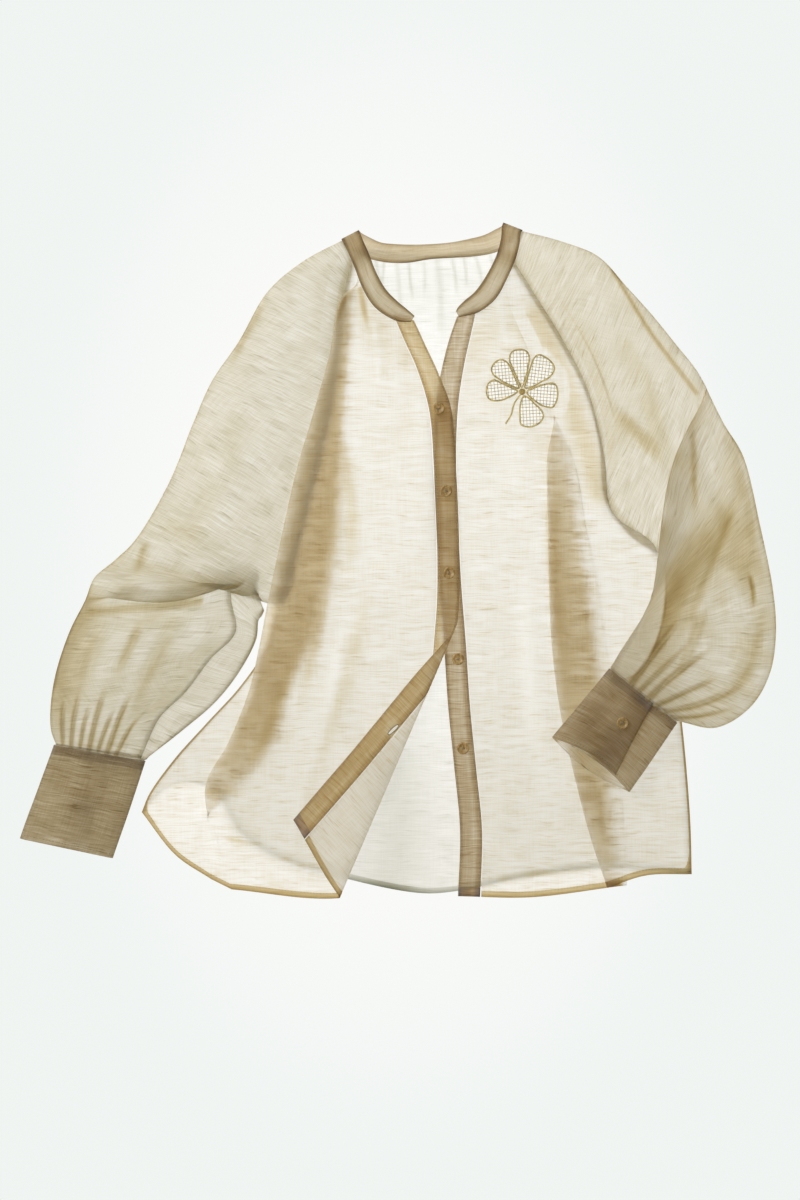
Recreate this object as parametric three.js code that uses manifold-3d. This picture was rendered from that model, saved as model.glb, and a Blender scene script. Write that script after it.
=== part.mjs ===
// A raglan blouse laid out flat: back, two fronts with a soft pleat each, balloon sleeves on deep cuffs,
// a band round the neck, two button plackets, an openwork flower and its buttons.
// One front's lower corner is turned back and one sleeve is bent at the elbow.
//
// Millimetres. Places in the tables are [across, down] on the layout sheet that the garment lies on, from the
// sheet's top left corner; z is the height above the surface. The garment is centred on its underside at the end.

import * as THREE from "three";
import Module from "manifold-3d";
import { mergeVertices } from "three/addons/utils/BufferGeometryUtils.js";

const wasm = await Module();
wasm.setup();

// ---- Driving dimensions ----------------------------------------------------------------------------------

const CLOTH = 1.0; // wall of a single panel
const BAND = 1.8; // wall of the doubled pieces: plackets, neckband and cuffs
const SEAM_GAP = 0.3; // between pieces that are sewn together
const LAP = 5; // how far a sleeve's edges run over the back and under the front
const PLACKET_WIDTH = 22;
const TURN_RADIUS = 3; // of the roll where the front's corner is turned back
const BUTTON = { radius: 6, thick: 2.6, hole: 0.9, spacing: 3.2 };

// Heights of the middle of each layer, from the surface up.
const layerOver = (z, below, above) => z + below / 2 + SEAM_GAP + above / 2;
const BACK_Z = CLOTH / 2;
const LAP_UNDER_Z = layerOver(BACK_Z, CLOTH, CLOTH);
const LAP_OVER_Z = layerOver(LAP_UNDER_Z, CLOTH, CLOTH);
const RAGLAN_Z = layerOver(LAP_OVER_Z, CLOTH, CLOTH);
const SIDE_SEAM_Z = layerOver(BACK_Z, CLOTH, CLOTH);
const LEFT_EDGE_Z = layerOver(BACK_Z, CLOTH, BAND);
const RIGHT_EDGE_Z = layerOver(LEFT_EDGE_Z, BAND, BAND);
const BACK_BAND_Z = layerOver(BACK_Z, CLOTH, BAND);
const FRONT_BAND_Z = layerOver(RAGLAN_Z, CLOTH, BAND) + 0.2;
const PLEAT_STEP = 2.5; // between the layers of a pleat
const OVER_BODY_Z = 10; // a sleeve where it lies on the body

// ---- Colours -----------------------------------------------------------------------------------------------

const material = (color, roughness) => new THREE.MeshStandardMaterial({ color, roughness, metalness: 0 });
const linen = () => material(0xece5d3, 0.9);
const doubled = () => material(0xb7a684, 0.9);
const thread = () => material(0xb5a672, 0.8);
const shell = () => material(0x9a7433, 0.35);

// ---- Cloth -------------------------------------------------------------------------------------------------

const place = ([across, down], z = 0) => new THREE.Vector3(across, -down, z);
const mix = (a, b, t) => a + (b - a) * t;
const clamp01 = (t) => Math.min(1, Math.max(0, t));
const smooth = (t) => clamp01(t) ** 2 * (3 - 2 * clamp01(t));
const curveThrough = (points) => new THREE.CatmullRomCurve3(points, false, "centripetal");
const along = (points, steps) => curveThrough(points).getSpacedPoints(steps);
const raised = (p, z) => p.clone().setZ(z);
const flatWay = (from, to) => to.clone().sub(from).setZ(0).normalize();

// Rows between the stations of a sheet: each column of points follows its own smooth curve.
function loft(stations, rows) {
  const columns = stations[0].map((_, c) => curveThrough(stations.map((row) => row[c])));
  return Array.from({ length: rows + 1 }, (_, i) => columns.map((column) => column.getPoint(i / rows)));
}

function gridNormals(grid) {
  const last = grid.length - 1;
  return grid.map((row, i) =>
    row.map((_, j) => {
      const across = row[Math.min(j + 1, row.length - 1)].clone().sub(row[Math.max(j - 1, 0)]);
      const down = grid[Math.min(i + 1, last)][j].clone().sub(grid[Math.max(i - 1, 0)][j]);
      return across.cross(down).normalize();
    }),
  );
}

const movedOut = (grid, distance) => {
  const normals = gridNormals(grid);
  return grid.map((row, i) => row.map((p, j) => p.clone().addScaledVector(normals[i][j], distance)));
};

// A wall of cloth on a grid of points: both faces and the rim, closed and facing out.
function wallOn(grid, thickness) {
  const rows = grid.length;
  const columns = grid[0].length;
  const faces = [movedOut(grid, thickness / 2), movedOut(grid, -thickness / 2)];
  const position = faces.flat(2).flatMap((p) => p.toArray());
  const index = [];
  const quad = (a, b, c, d) => index.push(a, b, c, a, c, d);
  const top = (i, j) => i * columns + j;
  const under = (i, j) => rows * columns + top(i, j);
  for (let i = 0; i < rows - 1; i++)
    for (let j = 0; j < columns - 1; j++) {
      quad(top(i, j), top(i, j + 1), top(i + 1, j + 1), top(i + 1, j));
      quad(under(i, j), under(i + 1, j), under(i + 1, j + 1), under(i, j + 1));
    }
  for (let j = 0; j < columns - 1; j++) {
    quad(top(0, j), under(0, j), under(0, j + 1), top(0, j + 1));
    quad(top(rows - 1, j + 1), under(rows - 1, j + 1), under(rows - 1, j), top(rows - 1, j));
  }
  for (let i = 0; i < rows - 1; i++) {
    quad(top(i + 1, 0), under(i + 1, 0), under(i, 0), top(i, 0));
    quad(top(i, columns - 1), under(i, columns - 1), under(i + 1, columns - 1), top(i + 1, columns - 1));
  }
  const geometry = new THREE.BufferGeometry();
  geometry.setAttribute("position", new THREE.Float32BufferAttribute(position, 3));
  geometry.setIndex(index);
  return geometry;
}

// ---- Joining and cutting -------------------------------------------------------------------------------------

function solidOf(geometry) {
  const bare = geometry.clone();
  bare.deleteAttribute("normal");
  bare.deleteAttribute("uv");
  const merged = mergeVertices(bare, 1e-4);
  const vertProperties = new Float32Array(merged.attributes.position.array);
  const triVerts = new Uint32Array(merged.index.array);
  return new wasm.Manifold(new wasm.Mesh({ numProp: 3, vertProperties, triVerts }));
}

function geometryOf(solid) {
  const { vertProperties, triVerts } = solid.getMesh();
  const geometry = new THREE.BufferGeometry();
  geometry.setAttribute("position", new THREE.Float32BufferAttribute(vertProperties, 3));
  geometry.setIndex(Array.from(triVerts));
  return geometry;
}

// ---- Seams shared by the panels --------------------------------------------------------------------------------

const RAGLAN_RIGHT = [
  [352, 262], [343.5, 292], [338, 330], [332, 380], [322, 435], [308, 495], [294, 550], [280, 600],
];
const RAGLAN_LEFT = [
  [513.5, 262], [529, 286], [547, 315], [568, 350], [590, 397], [603, 450], [612, 512], [655, 547],
];
const SIDE_RIGHT = [
  [280, 600], [269, 642], [243, 683], [206, 724], [173, 761], [150, 793], [142, 812],
];
const SIDE_LEFT = [
  [655, 547], [664, 610], [677, 685], [685, 755], [690, 820], [691.5, 874],
];
const RAGLAN_GAPS = RAGLAN_RIGHT.length - 1;

const onSeam = (seam, gaps) => curveThrough(seam.map((q) => place(q))).getPoint(clamp01(gaps / (seam.length - 1)));

// gaps counts the table's gaps from the neck down the raglan seam and on down the side.
const seamPlace = (raglan, side, gaps) =>
  gaps <= RAGLAN_GAPS ? onSeam(raglan, gaps) : onSeam(side, gaps - RAGLAN_GAPS);

// ---- Fronts ------------------------------------------------------------------------------------------------

// A row for each level from the neck to the hem: the centre edge, a place in mid panel, the pleat's two folds in
// the order in which the cloth meets them, the flank beyond the pleat, and the place down the seam.
const FRONT_RIGHT = [
  { edge: [414, 321], mid: [380, 307], first: [366, 284], second: [359, 271], flank: [356, 265], seam: 0 },
  { edge: [425, 345], mid: [384, 332], first: [342, 298], second: [355, 296], flank: [349, 295], seam: 1.1 },
  { edge: [438, 373], mid: [390, 362], first: [331, 350], second: [352, 350], flank: [345, 351], seam: 2.45 },
  { edge: [451, 409], mid: [392, 410], first: [315, 409], second: [348, 410], flank: [338, 411], seam: 3.6 },
  { edge: [456, 470], mid: [392, 470], first: [297, 470], second: [348, 471], flank: [330, 473], seam: 4.67 },
  { edge: [459, 540], mid: [390, 541], first: [281, 541], second: [345, 542], flank: [318, 543], seam: 5.9 },
  { edge: [459, 600], mid: [385, 602], first: [268, 603], second: [331, 600], flank: [302, 599], seam: 7 },
  { edge: [456, 640], mid: [376, 644], first: [260, 645], second: [320, 642], flank: [290, 642], seam: 8.05 },
  { edge: [452, 690], mid: [362, 693], first: [249, 692], second: [293, 688], flank: [265, 688], seam: 9.05 },
  { edge: [446, 740], mid: [350, 745], first: [229, 742], second: [281, 737], flank: [240, 732], seam: 10 },
  { edge: [440, 790], mid: [340, 798], first: [206, 786], second: [245, 783], flank: [210, 776], seam: 11 },
  { edge: [435, 840], mid: [336, 850], first: [214, 830], second: [198, 824], flank: [178, 813], seam: 12.05 },
  { edge: [431, 878], mid: [336, 898], first: [232, 889], second: [212, 879], flank: [176, 855], seam: 13 },
];
const FRONT_LEFT = [
  { edge: [457, 317], mid: [494, 297], first: [504, 281], second: [509, 270], flank: [511, 266], seam: 0 },
  { edge: [450, 337], mid: [490, 326], first: [512, 312], second: [521, 305], flank: [526, 299], seam: 1.2 },
  { edge: [442, 368], mid: [490, 362], first: [528, 350], second: [540, 345], flank: [552, 341], seam: 2.6 },
  { edge: [436, 405], mid: [490, 407], first: [544, 402], second: [558, 399], flank: [574, 397], seam: 3.85 },
  { edge: [434, 460], mid: [492, 461], first: [574, 461], second: [547, 460], flank: [577, 458], seam: 5.1 },
  { edge: [436, 520], mid: [493, 522], first: [585, 522], second: [548, 522], flank: [582, 516], seam: 6.02 },
  { edge: [439, 580], mid: [495, 583], first: [597, 582], second: [549, 583], flank: [612, 562], seam: 7 },
  { edge: [444, 645], mid: [500, 648], first: [606, 648], second: [552, 648], flank: [612, 634], seam: 8.3 },
  { edge: [448, 705], mid: [505, 709], first: [614, 712], second: [560, 710], flank: [624, 700], seam: 9.1 },
  { edge: [454, 765], mid: [512, 770], first: [620, 772], second: [573, 770], flank: [634, 766], seam: 10.1 },
  { edge: [460, 830], mid: [521, 834], first: [624, 832], second: [590, 836], flank: [643, 828], seam: 11.1 },
  { edge: [458, 896], mid: [531, 897], first: [626, 885], second: [607, 887], flank: [646, 875], seam: 12 },
];

// The right front's lower corner is turned back over this line, from its top on the edge to its foot on the hem.
const TURN_TOP = place([450, 632]);
const TURN_FOOT = place([336, 898]);
const turnAcross = flatWay(TURN_TOP, TURN_FOOT).cross(new THREE.Vector3(0, 0, -1));
const beyondTurn = (p) => raised(p, 0).sub(TURN_TOP).dot(turnAcross);

function turnBack(p) {
  const reach = beyondTurn(p);
  if (reach <= 0) return p.clone();
  const angle = Math.min(reach / TURN_RADIUS, Math.PI);
  const returned = Math.max(0, reach - Math.PI * TURN_RADIUS);
  const moved = p.clone().addScaledVector(turnAcross, TURN_RADIUS * Math.sin(angle) - returned - reach);
  moved.z += TURN_RADIUS * (1 - Math.cos(angle));
  return moved;
}

// The pleat's points from the first fold to the second: a small turn, the middle layer and a turn back.
function pleatPoints(first, second, inward, bottom, top) {
  const width = second.clone().sub(first).dot(inward);
  const middle = (bottom + top) / 2;
  const isOpen = width > 0;
  const radius = isOpen ? Math.abs(top - bottom) / 4 : 0;
  const turn = (fold, way, from, to) =>
    [45, 90, 135].map(THREE.MathUtils.degToRad).map((angle) => {
      const p = fold.clone().addScaledVector(way, radius * (Math.sin(angle) - 1));
      return raised(p, mix(from, to, (1 - Math.cos(angle)) / 2));
    });
  const outward = inward.clone().negate();
  const start = raised(first.clone().addScaledVector(inward, radius), middle);
  const end = raised(second.clone().addScaledVector(outward, radius), middle);
  const open = [
    ...turn(first, outward, top, middle), start, start.clone().lerp(end, 0.5), end,
    ...turn(second, inward, middle, bottom),
  ];
  const shut = open.map((_, k) => raised(first.clone().lerp(second, k / (open.length - 1)), middle));
  return { points: isOpen ? open : shut, radius };
}

const PANEL_STEPS = { flap: 2, roll: 4, rest: 4 };
const SEAM_STEPS = 3;
const ROLL_GAP = 4 * SEAM_GAP; // between a placket and its panel, which roll over together
const PLACKET_STEPS = 3;

// One row across a front, as its placket's points and its panel's points. top and bottom are the heights of the
// pleat's layers next to the first and the second fold.
function frontRow(row, seam, edgeZ, top, bottom) {
  const [first, second] = [place(row.first), place(row.second)];
  const inward = flatWay(first, place(row.mid));
  const pleat = pleatPoints(first, second, inward, bottom, top);
  const near = raised(first.clone().addScaledVector(inward, pleat.radius + 1), pleat.points[0].z);
  const body = curveThrough([place(row.edge, edgeZ), place(row.mid, mix(edgeZ, near.z, 0.3)), near]);
  const length = body.getLength();
  const at = (distance) => body.getPointAt(clamp01(distance / length));
  let turned = 0;
  while (turned < length && beyondTurn(at(turned)) > 0) turned += 1;
  const roll = Math.PI * TURN_RADIUS * 1.1;
  const start = PLACKET_WIDTH + ROLL_GAP;
  const turnAt = Math.max(turned < length ? turned : 0, start + roll + 4);
  const stretch = (from, to, steps) => Array.from({ length: steps }, (_, k) => at(mix(from, to, k / steps)));
  const seamZ = row.seam > RAGLAN_GAPS ? SIDE_SEAM_Z : RAGLAN_Z;
  const last = pleat.points.at(-1);
  const away = place(row.flank, row.seam > RAGLAN_GAPS ? mix(last.z, seamZ, 0.5) : seamZ);
  return {
    placket: [...stretch(0, PLACKET_WIDTH, PLACKET_STEPS), at(PLACKET_WIDTH)],
    panel: [
      ...stretch(start, turnAt - roll, PANEL_STEPS.flap),
      ...stretch(turnAt - roll, turnAt, PANEL_STEPS.roll),
      ...stretch(turnAt, length, PANEL_STEPS.rest),
      at(length),
      ...pleat.points,
      ...along([last, away, raised(seam, seamZ)], SEAM_STEPS).slice(1),
    ],
  };
}

const FRONT_ROWS = 18;

function frontGrids(table, raglan, side, heights, finish) {
  const rows = table.map((row, i) => {
    const { edgeZ, top, bottom } = heights(i);
    return frontRow(row, seamPlace(raglan, side, row.seam), edgeZ, top, bottom);
  });
  const sheet = (part) => loft(rows.map((row) => row[part]), FRONT_ROWS).map((row) => row.map(finish));
  return { placket: sheet("placket"), panel: sheet("panel") };
}

// The right front's edge starts low at the neck and climbs onto the left front's placket.
const rightHeights = (i) => ({
  edgeZ: [3, 4][i] ?? RIGHT_EDGE_Z,
  top: i === 0 ? 3.4 : RAGLAN_Z + PLEAT_STEP,
  bottom: i === 0 ? 3.4 : RAGLAN_Z - PLEAT_STEP,
});
const leftHeights = (i) => ({
  edgeZ: LEFT_EDGE_Z,
  top: i < 4 ? 3 : LEFT_EDGE_Z,
  bottom: i < 4 ? 3.6 : LEFT_EDGE_Z + 2 * PLEAT_STEP,
});
const frontRight = frontGrids(FRONT_RIGHT, RAGLAN_RIGHT, SIDE_RIGHT, rightHeights, turnBack);
const frontLeft = frontGrids(FRONT_LEFT, RAGLAN_LEFT, SIDE_LEFT, leftHeights, (p) => p);

// ---- Back ----------------------------------------------------------------------------------------------------

// Lines across the back from the neck to the hem.
const BACK = [
  [[352, 262], [362, 252], [430, 256], [504, 250], [513.5, 262]],
  [[343.5, 292], [430, 296], [531, 290]],
  [[338, 330], [430, 335], [557, 330]],
  [[332, 380], [430, 384], [582, 380]],
  [[322, 435], [430, 440], [600, 435]],
  [[308, 495], [430, 500], [609, 490]],
  [[301, 522], [430, 528], [612, 512]],
  [[294, 550], [430, 560], [652, 545.5]],
  [[280, 600], [430, 612], [662, 600]],
  [[269, 642], [432, 658], [671, 648]],
  [[243, 683], [434, 705], [679, 700]],
  [[206, 724], [434, 752], [685, 752]],
  [[173, 761], [214, 768], [262, 795], [430, 818], [688.5, 800]],
  [[142, 812], [163, 790], [190, 782], [216, 792], [240, 832], [275, 856], [340, 877], [420, 893], [457, 891],
    [520, 878], [600, 868], [691.5, 874]],
];
const BACK_COLUMNS = 14;
const BACK_ROWS = 13;
const backGrid = loft(
  BACK.map((line) => along(line.map((q) => place(q, BACK_Z)), BACK_COLUMNS)),
  BACK_ROWS,
);

// ---- Sleeves ---------------------------------------------------------------------------------------------------

// A row for each section from the neck to the cuff: the outer edge, then either the place down the raglan seam or
// the inner edge with the end of the upper layer, over; crest bends the upper layer's line and rise is its height.
// A row that isFlat is laid like one on the seam, just past the underarm.
// tuck pushes the upper layer back up the sleeve, into a fold. lift raises the outer edge off the surface.
const SLEEVE_RIGHT = [
  { outer: [343, 240.5], seam: 0, rise: 3.1 },
  { outer: [303, 262], seam: 0.9, rise: 7 },
  { outer: [268, 292], seam: 1.9, rise: 10 },
  { outer: [239, 342], seam: 3, rise: 12 },
  { outer: [212, 382], seam: 4, rise: 14 },
  { outer: [193, 425], seam: 5, rise: 16 },
  { outer: [170, 482], seam: 6, rise: 19 },
  { outer: [136, 540], seam: 7, rise: 23 },
  { outer: [116, 560], inner: [259, 600], isFlat: true, rise: 25 },
  { outer: [95, 578], inner: [264, 611], over: [256, 586], rise: 26 },
  { outer: [88, 595], inner: [263, 615], over: [259, 578], crest: [172, 602], rise: 24 },
  { outer: [86, 600], inner: [262, 619], over: [250, 582], crest: [172, 602], rise: 17, tuck: 15 },
  { outer: [83, 606], inner: [261, 623], over: [232, 592], crest: [172, 604], rise: 13 },
  { outer: [71, 630], inner: [257, 639], over: [236, 632], rise: 24 },
  { outer: [57, 672], inner: [243, 671], over: [211, 659], rise: 30 },
  { outer: [51.5, 706], inner: [219, 702], over: [186, 692], rise: 28 },
  { outer: [52, 730], inner: [184, 731], over: [160, 718], rise: 21, lift: 1.5 },
  { outer: [56.5, 743.5], inner: [147, 759.5], over: [142, 757], rise: 10, lift: 3 },
];
const SLEEVE_LEFT = [
  { outer: [521.5, 231.5], seam: 0, rise: 3.1 },
  { outer: [560, 241.5], seam: 1.3, rise: 8 },
  { outer: [598, 257], seam: 2.6, rise: 12 },
  { outer: [626, 287], seam: 3.8, rise: 15 },
  { outer: [653, 317], seam: 4.8, rise: 16 },
  { outer: [676, 345.5], seam: 5.7, rise: 15 },
  { outer: [695, 369], seam: 6.5, rise: 12 },
  { outer: [704, 384], seam: 7, rise: 8 },
  { outer: [705, 386], inner: [668, 552], isFlat: true, rise: 8 },
  { outer: [706, 388], inner: [663, 557], over: [688, 562], crest: [693, 450], rise: 7 },
  { outer: [707, 391], inner: [652, 592], over: [651, 596], crest: [671, 466], rise: 17 },
  { outer: [723, 424], inner: [649, 602], over: [649, 603], rise: 26 },
  { outer: [742, 456], inner: [646, 608], over: [646, 609], rise: 32 },
  { outer: [759, 525], inner: [641, 618], over: [641, 618], rise: 36 },
  { outer: [772, 590], inner: [634, 629], over: [634, 629], rise: 38 },
  { outer: [775, 633], inner: [628, 638], over: [628, 638], rise: 37 },
  { outer: [769, 673], inner: [622, 647], over: [622, 647], rise: 35 },
  { outer: [750, 706], inner: [617, 655], over: [617, 655], rise: 32, lift: 2 },
  { outer: [715, 727], inner: [612.5, 662.5], over: [612.5, 662.5], rise: 27, lift: 6 },
  { outer: [677, 720.5], inner: [609.5, 667], over: [609.5, 667], rise: 20, lift: OVER_BODY_Z - BACK_Z },
];
const SLEEVE_STEPS = { curl: 2, bottom: 4, turn: 3, top: 6 };
const SLEEVE_TURN = { share: 0.2, least: (LAP_OVER_Z - BACK_Z) / 2, most: 6 };
const CURL_RADIUS = 1.4;
const CURL_HIDDEN = 5; // how far the lower layer's curl runs under the upper layer's end

// Below the raglan seam a sleeve climbs to the height z between two places across, off and on the body. level is
// how far out from the raglan seam its upper layer stays low, under the front.
function sleeveRow(row, raglan, body) {
  const onRaglan = row.seam !== undefined || row.isFlat;
  const outer = place(row.outer);
  const inner = row.inner ? place(row.inner) : onSeam(raglan, row.seam);
  const inward = flatWay(outer, inner);
  const outerZ = BACK_Z + (row.lift ?? 0);
  const floorAt = (p) =>
    onRaglan ? outerZ : mix(outerZ, body.z, smooth((body.off - p.x) / (body.off - body.on)));
  const innerZ = floorAt(inner);
  const lapEnd = inner.clone().addScaledVector(inward, LAP);
  const lapRoot = inner.clone().addScaledVector(inward, -LAP);
  const over = onRaglan ? lapEnd : place(row.over);
  const hidden = over.clone().addScaledVector(inward, -CURL_HIDDEN);
  const curl = onRaglan
    ? [raised(lapEnd, LAP_UNDER_Z), raised(inner, LAP_UNDER_Z), raised(lapRoot, LAP_UNDER_Z)]
    : [
        raised(hidden, innerZ + 2 * CURL_RADIUS),
        raised(inner, innerZ + CURL_RADIUS),
        raised(inner.clone().addScaledVector(inward, -3 * CURL_RADIUS), innerZ),
      ];
  const turnRadius = THREE.MathUtils.clamp(row.rise * SLEEVE_TURN.share, SLEEVE_TURN.least, SLEEVE_TURN.most);
  const turnCentre = raised(outer.clone().addScaledVector(inward, turnRadius), outerZ + turnRadius);
  const turn = [-90, -45, 0, 45, 90].map(THREE.MathUtils.degToRad).map((angle) => {
    const p = turnCentre.clone().addScaledVector(inward, -turnRadius * Math.cos(angle));
    return raised(p, turnCentre.z + turnRadius * Math.sin(angle));
  });
  const bottom = Array.from({ length: SLEEVE_STEPS.bottom }, (_, k) => {
    const p = curl[2].clone().lerp(turn[0], k / SLEEVE_STEPS.bottom);
    return k === 0 ? p : raised(p, floorAt(p));
  });
  const overZ = onRaglan ? LAP_OVER_Z : innerZ + 2 * CURL_RADIUS + CLOTH + SEAM_GAP + 0.4;
  const domeEnd = over.clone().addScaledVector(inward, onRaglan ? -LAP - body.level : -LAP);
  const crest = row.crest ? [place(row.crest)] : [];
  const line = curveThrough([raised(turn[4], 0), ...crest, domeEnd]);
  const up = new THREE.Vector3(-inward.y, inward.x, 0);
  if (up.y < 0) up.negate();
  const top = Array.from({ length: SLEEVE_STEPS.top + 1 }, (_, k) => {
    const t = k / SLEEVE_STEPS.top;
    const base = mix(turn[4].z, overZ, t);
    const dome = Math.max(0, row.rise - mix(turn[4].z, overZ, 0.5)) * Math.sin(Math.PI * t);
    return raised(line.getPointAt(t).addScaledVector(up, (row.tuck ?? 0) * smooth(t * 3)), base + dome);
  });
  const overEnd = over.clone().addScaledVector(up, row.tuck ?? 0);
  return [...along(curl, SLEEVE_STEPS.curl), ...bottom.slice(1), ...turn.slice(0, 4), ...top, raised(overEnd, overZ)];
}

const SLEEVE_ROWS = 23;
const sleeveGrid = (table, raglan, body) =>
  loft(table.map((row) => sleeveRow(row, raglan, body)), SLEEVE_ROWS).map((row) =>
    row.map((p) => raised(p, Math.max(p.z, BACK_Z))),
  );
const sleeveRight = sleeveGrid(SLEEVE_RIGHT, RAGLAN_RIGHT, { on: 262, off: 240, z: LAP_UNDER_Z, level: 18 });
const sleeveLeft = sleeveGrid(SLEEVE_LEFT, RAGLAN_LEFT, { on: 655, off: 705, z: OVER_BODY_Z, level: 9 });

// ---- Neckband --------------------------------------------------------------------------------------------------

// Sections along the band, from the seam to the free edge: down the right front, over the shoulder, along the
// back, over the other shoulder and down the left front. z is given where it isn't the back's.
const NECKBAND = [
  { seam: [411, 322], free: [414.5, 316.5], z: 5.2 },
  { seam: [399.6, 321.3], free: [406, 309], z: 5.3 },
  { seam: [387.6, 315.8], free: [397.5, 302], z: 5.5 },
  { seam: [374.2, 305.1], free: [385.5, 289.5], z: 5.8 },
  { seam: [363.5, 287.7], free: [376, 272.5], z: 6.1 },
  { seam: [355.5, 267], free: [368.8, 254.2], z: FRONT_BAND_Z },
  { seam: [349, 252], free: [363, 241], z: FRONT_BAND_Z },
  { seam: [344.2, 242], free: [360, 233.5], z: FRONT_BAND_Z },
  { seam: [342.8, 239.4], free: [359, 231], z: (FRONT_BAND_Z + BACK_BAND_Z) / 2 },
  { seam: [345, 242.5], free: [361, 233], z: BACK_BAND_Z },
  { seam: [356, 253], free: [369, 237.5] },
  { seam: [370, 258], free: [381, 242.8] },
  { seam: [388, 261.5], free: [394, 244.3] },
  { seam: [408, 261.8], free: [411, 245] },
  { seam: [430, 258.5], free: [430, 244.5] },
  { seam: [453, 257], free: [450.5, 242.8] },
  { seam: [474, 255.5], free: [468, 239.5] },
  { seam: [493, 252], free: [484, 235.4] },
  { seam: [508, 245], free: [495, 230] },
  { seam: [518, 234.5], free: [502, 226] },
  { seam: [521, 230.5], free: [503, 223.5], z: (FRONT_BAND_Z + BACK_BAND_Z) / 2 },
  { seam: [519.5, 233], free: [501.8, 227], z: FRONT_BAND_Z },
  { seam: [518.2, 243], free: [501, 238], z: FRONT_BAND_Z },
  { seam: [514.5, 258], free: [497, 254], z: FRONT_BAND_Z },
  { seam: [506, 278], free: [488, 273], z: 5.9 },
  { seam: [494, 299], free: [475.5, 291.5], z: 5.2 },
  { seam: [477.3, 312], free: [463.5, 302], z: 4.6 },
  { seam: [463.9, 316], free: [457.5, 308.5], z: 4.4 },
  { seam: [458.6, 317], free: [456, 312], z: 4.4 },
];
const NECKBAND_ROWS = 40;
const neckband = loft(
  NECKBAND.map(({ seam, free, z = BACK_BAND_Z }) => [place(seam, z), place(free, z)]),
  NECKBAND_ROWS,
);

// ---- Cuffs -----------------------------------------------------------------------------------------------------

// The cuff's path round a section, as [across, up] from the section's left edge at mid height: from its end
// hidden in the overlap, round the right edge and the left edge, and back to the overlap's own edge.
function cuffPath(width, height, hiddenAt, edgeAt) {
  const step = BAND + SEAM_GAP;
  const rise = height / 2;
  const small = (height - step) / 2;
  const arc = (x, y, radius, from, to) =>
    [0, 1, 2, 3, 4].map((k) => {
      const angle = THREE.MathUtils.degToRad(mix(from, to, k / 4));
      return [x + radius * Math.cos(angle), y + radius * Math.sin(angle)];
    });
  const flat = (from, to, y) => [1, 2, 3].map((k) => [mix(from, to, k / 4), y]);
  return [
    [hiddenAt * width, rise - step],
    ...flat(hiddenAt * width, width - small, rise - step),
    ...arc(width - small, -step / 2, small, 90, -90),
    ...flat(width - small, rise, -rise),
    ...arc(rise, 0, rise, -90, -270),
    ...flat(rise, edgeAt * width, rise),
    [edgeAt * width, rise],
  ];
}

const CUFF_HEIGHT = 12;
const CUFF_RIGHT = {
  base: 2.8 + BAND / 2,
  side: -1,
  sections: [
    { left: [55.5, 744.6], right: [146, 760.4], edge: 0.66, hidden: 0.4 },
    { left: [38.5, 791], right: [130, 808.5], edge: 0.66, hidden: 0.4 },
    { left: [21.5, 837.5], right: [113.4, 857], edge: 0.66, hidden: 0.4 },
  ],
};
const CUFF_LEFT = {
  base: OVER_BODY_Z + BAND / 2 - CLOTH / 2,
  side: 1,
  sections: [
    { left: [608.5, 668.5], right: [675.5, 722], edge: 0.64, hidden: 0.12, front: 0, back: 0 },
    { left: [580, 703], right: [652, 756.5], edge: 0.7, hidden: 0.16, front: 3, back: -3 },
    { left: [551.5, 737], right: [628, 791], edge: 0.77, hidden: 0.21, front: 9, back: -6 },
  ],
};

// front and back move the mouth's upper and lower rims up the sleeve, so that the inside shows.
function cuffGrid({ base, side, sections }) {
  const up = flatWay(place(sections.at(-1).left), place(sections[0].left));
  return sections.map(({ left, right, edge, hidden, front = 0, back = 0 }) => {
    const [from, to] = [place(left), place(right)];
    const width = from.distanceTo(to);
    const across = flatWay(from, to);
    return cuffPath(width, CUFF_HEIGHT, hidden, edge).map(([x, y]) => {
      const level = y / (CUFF_HEIGHT / 2);
      const bow = Math.sin(Math.PI * clamp01(x / width)) * mix(back, front, (level + 1) / 2);
      const p = from.clone().addScaledVector(across, x).addScaledVector(up, bow);
      return raised(p, base + CUFF_HEIGHT / 2 + side * y);
    });
  });
}

// ---- Flower ----------------------------------------------------------------------------------------------------

const FLOWER_CENTRE = place([522, 392]);
const STEM = [[521, 394], [514, 404], [511, 415], [505.5, 424]];
const PETALS = [
  { angle: 94, length: 43, width: 20 },
  { angle: 53, length: 41, width: 22 },
  { angle: -7, length: 36, width: 24 },
  { angle: -68, length: 36, width: 23 },
  { angle: 180, length: 35, width: 21 },
  { angle: 134, length: 39, width: 20 },
];
const PETAL_ROOT = 2;
const CORD = 1.6;
const PETAL_SIDE_POINTS = 7;

// A petal's outline: narrow at the root, widest two thirds out, with a blunt end. inset draws it smaller.
function petalShape({ angle, length, width }, inset) {
  const turn = THREE.MathUtils.degToRad(angle);
  const side = (sign) =>
    Array.from({ length: PETAL_SIDE_POINTS + 1 }, (_, k) => {
      const t = k / PETAL_SIDE_POINTS;
      const x = mix(PETAL_ROOT + inset, length - inset, t ** 0.8);
      const y = sign * Math.max(0, (width / 2 - inset) * Math.sin(Math.PI * t ** 1.5) ** 0.7);
      return new THREE.Vector2(x, y).rotateAround(new THREE.Vector2(), turn);
    });
  return new THREE.Shape([...side(-1), ...side(1).reverse().slice(1, -1)]);
}

const flowerDepth = 14;
const slab = (shape) =>
  solidOf(
    new THREE.ExtrudeGeometry(shape, { depth: flowerDepth, bevelEnabled: false })
      .translate(FLOWER_CENTRE.x, FLOWER_CENTRE.y, 0),
  );

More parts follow.
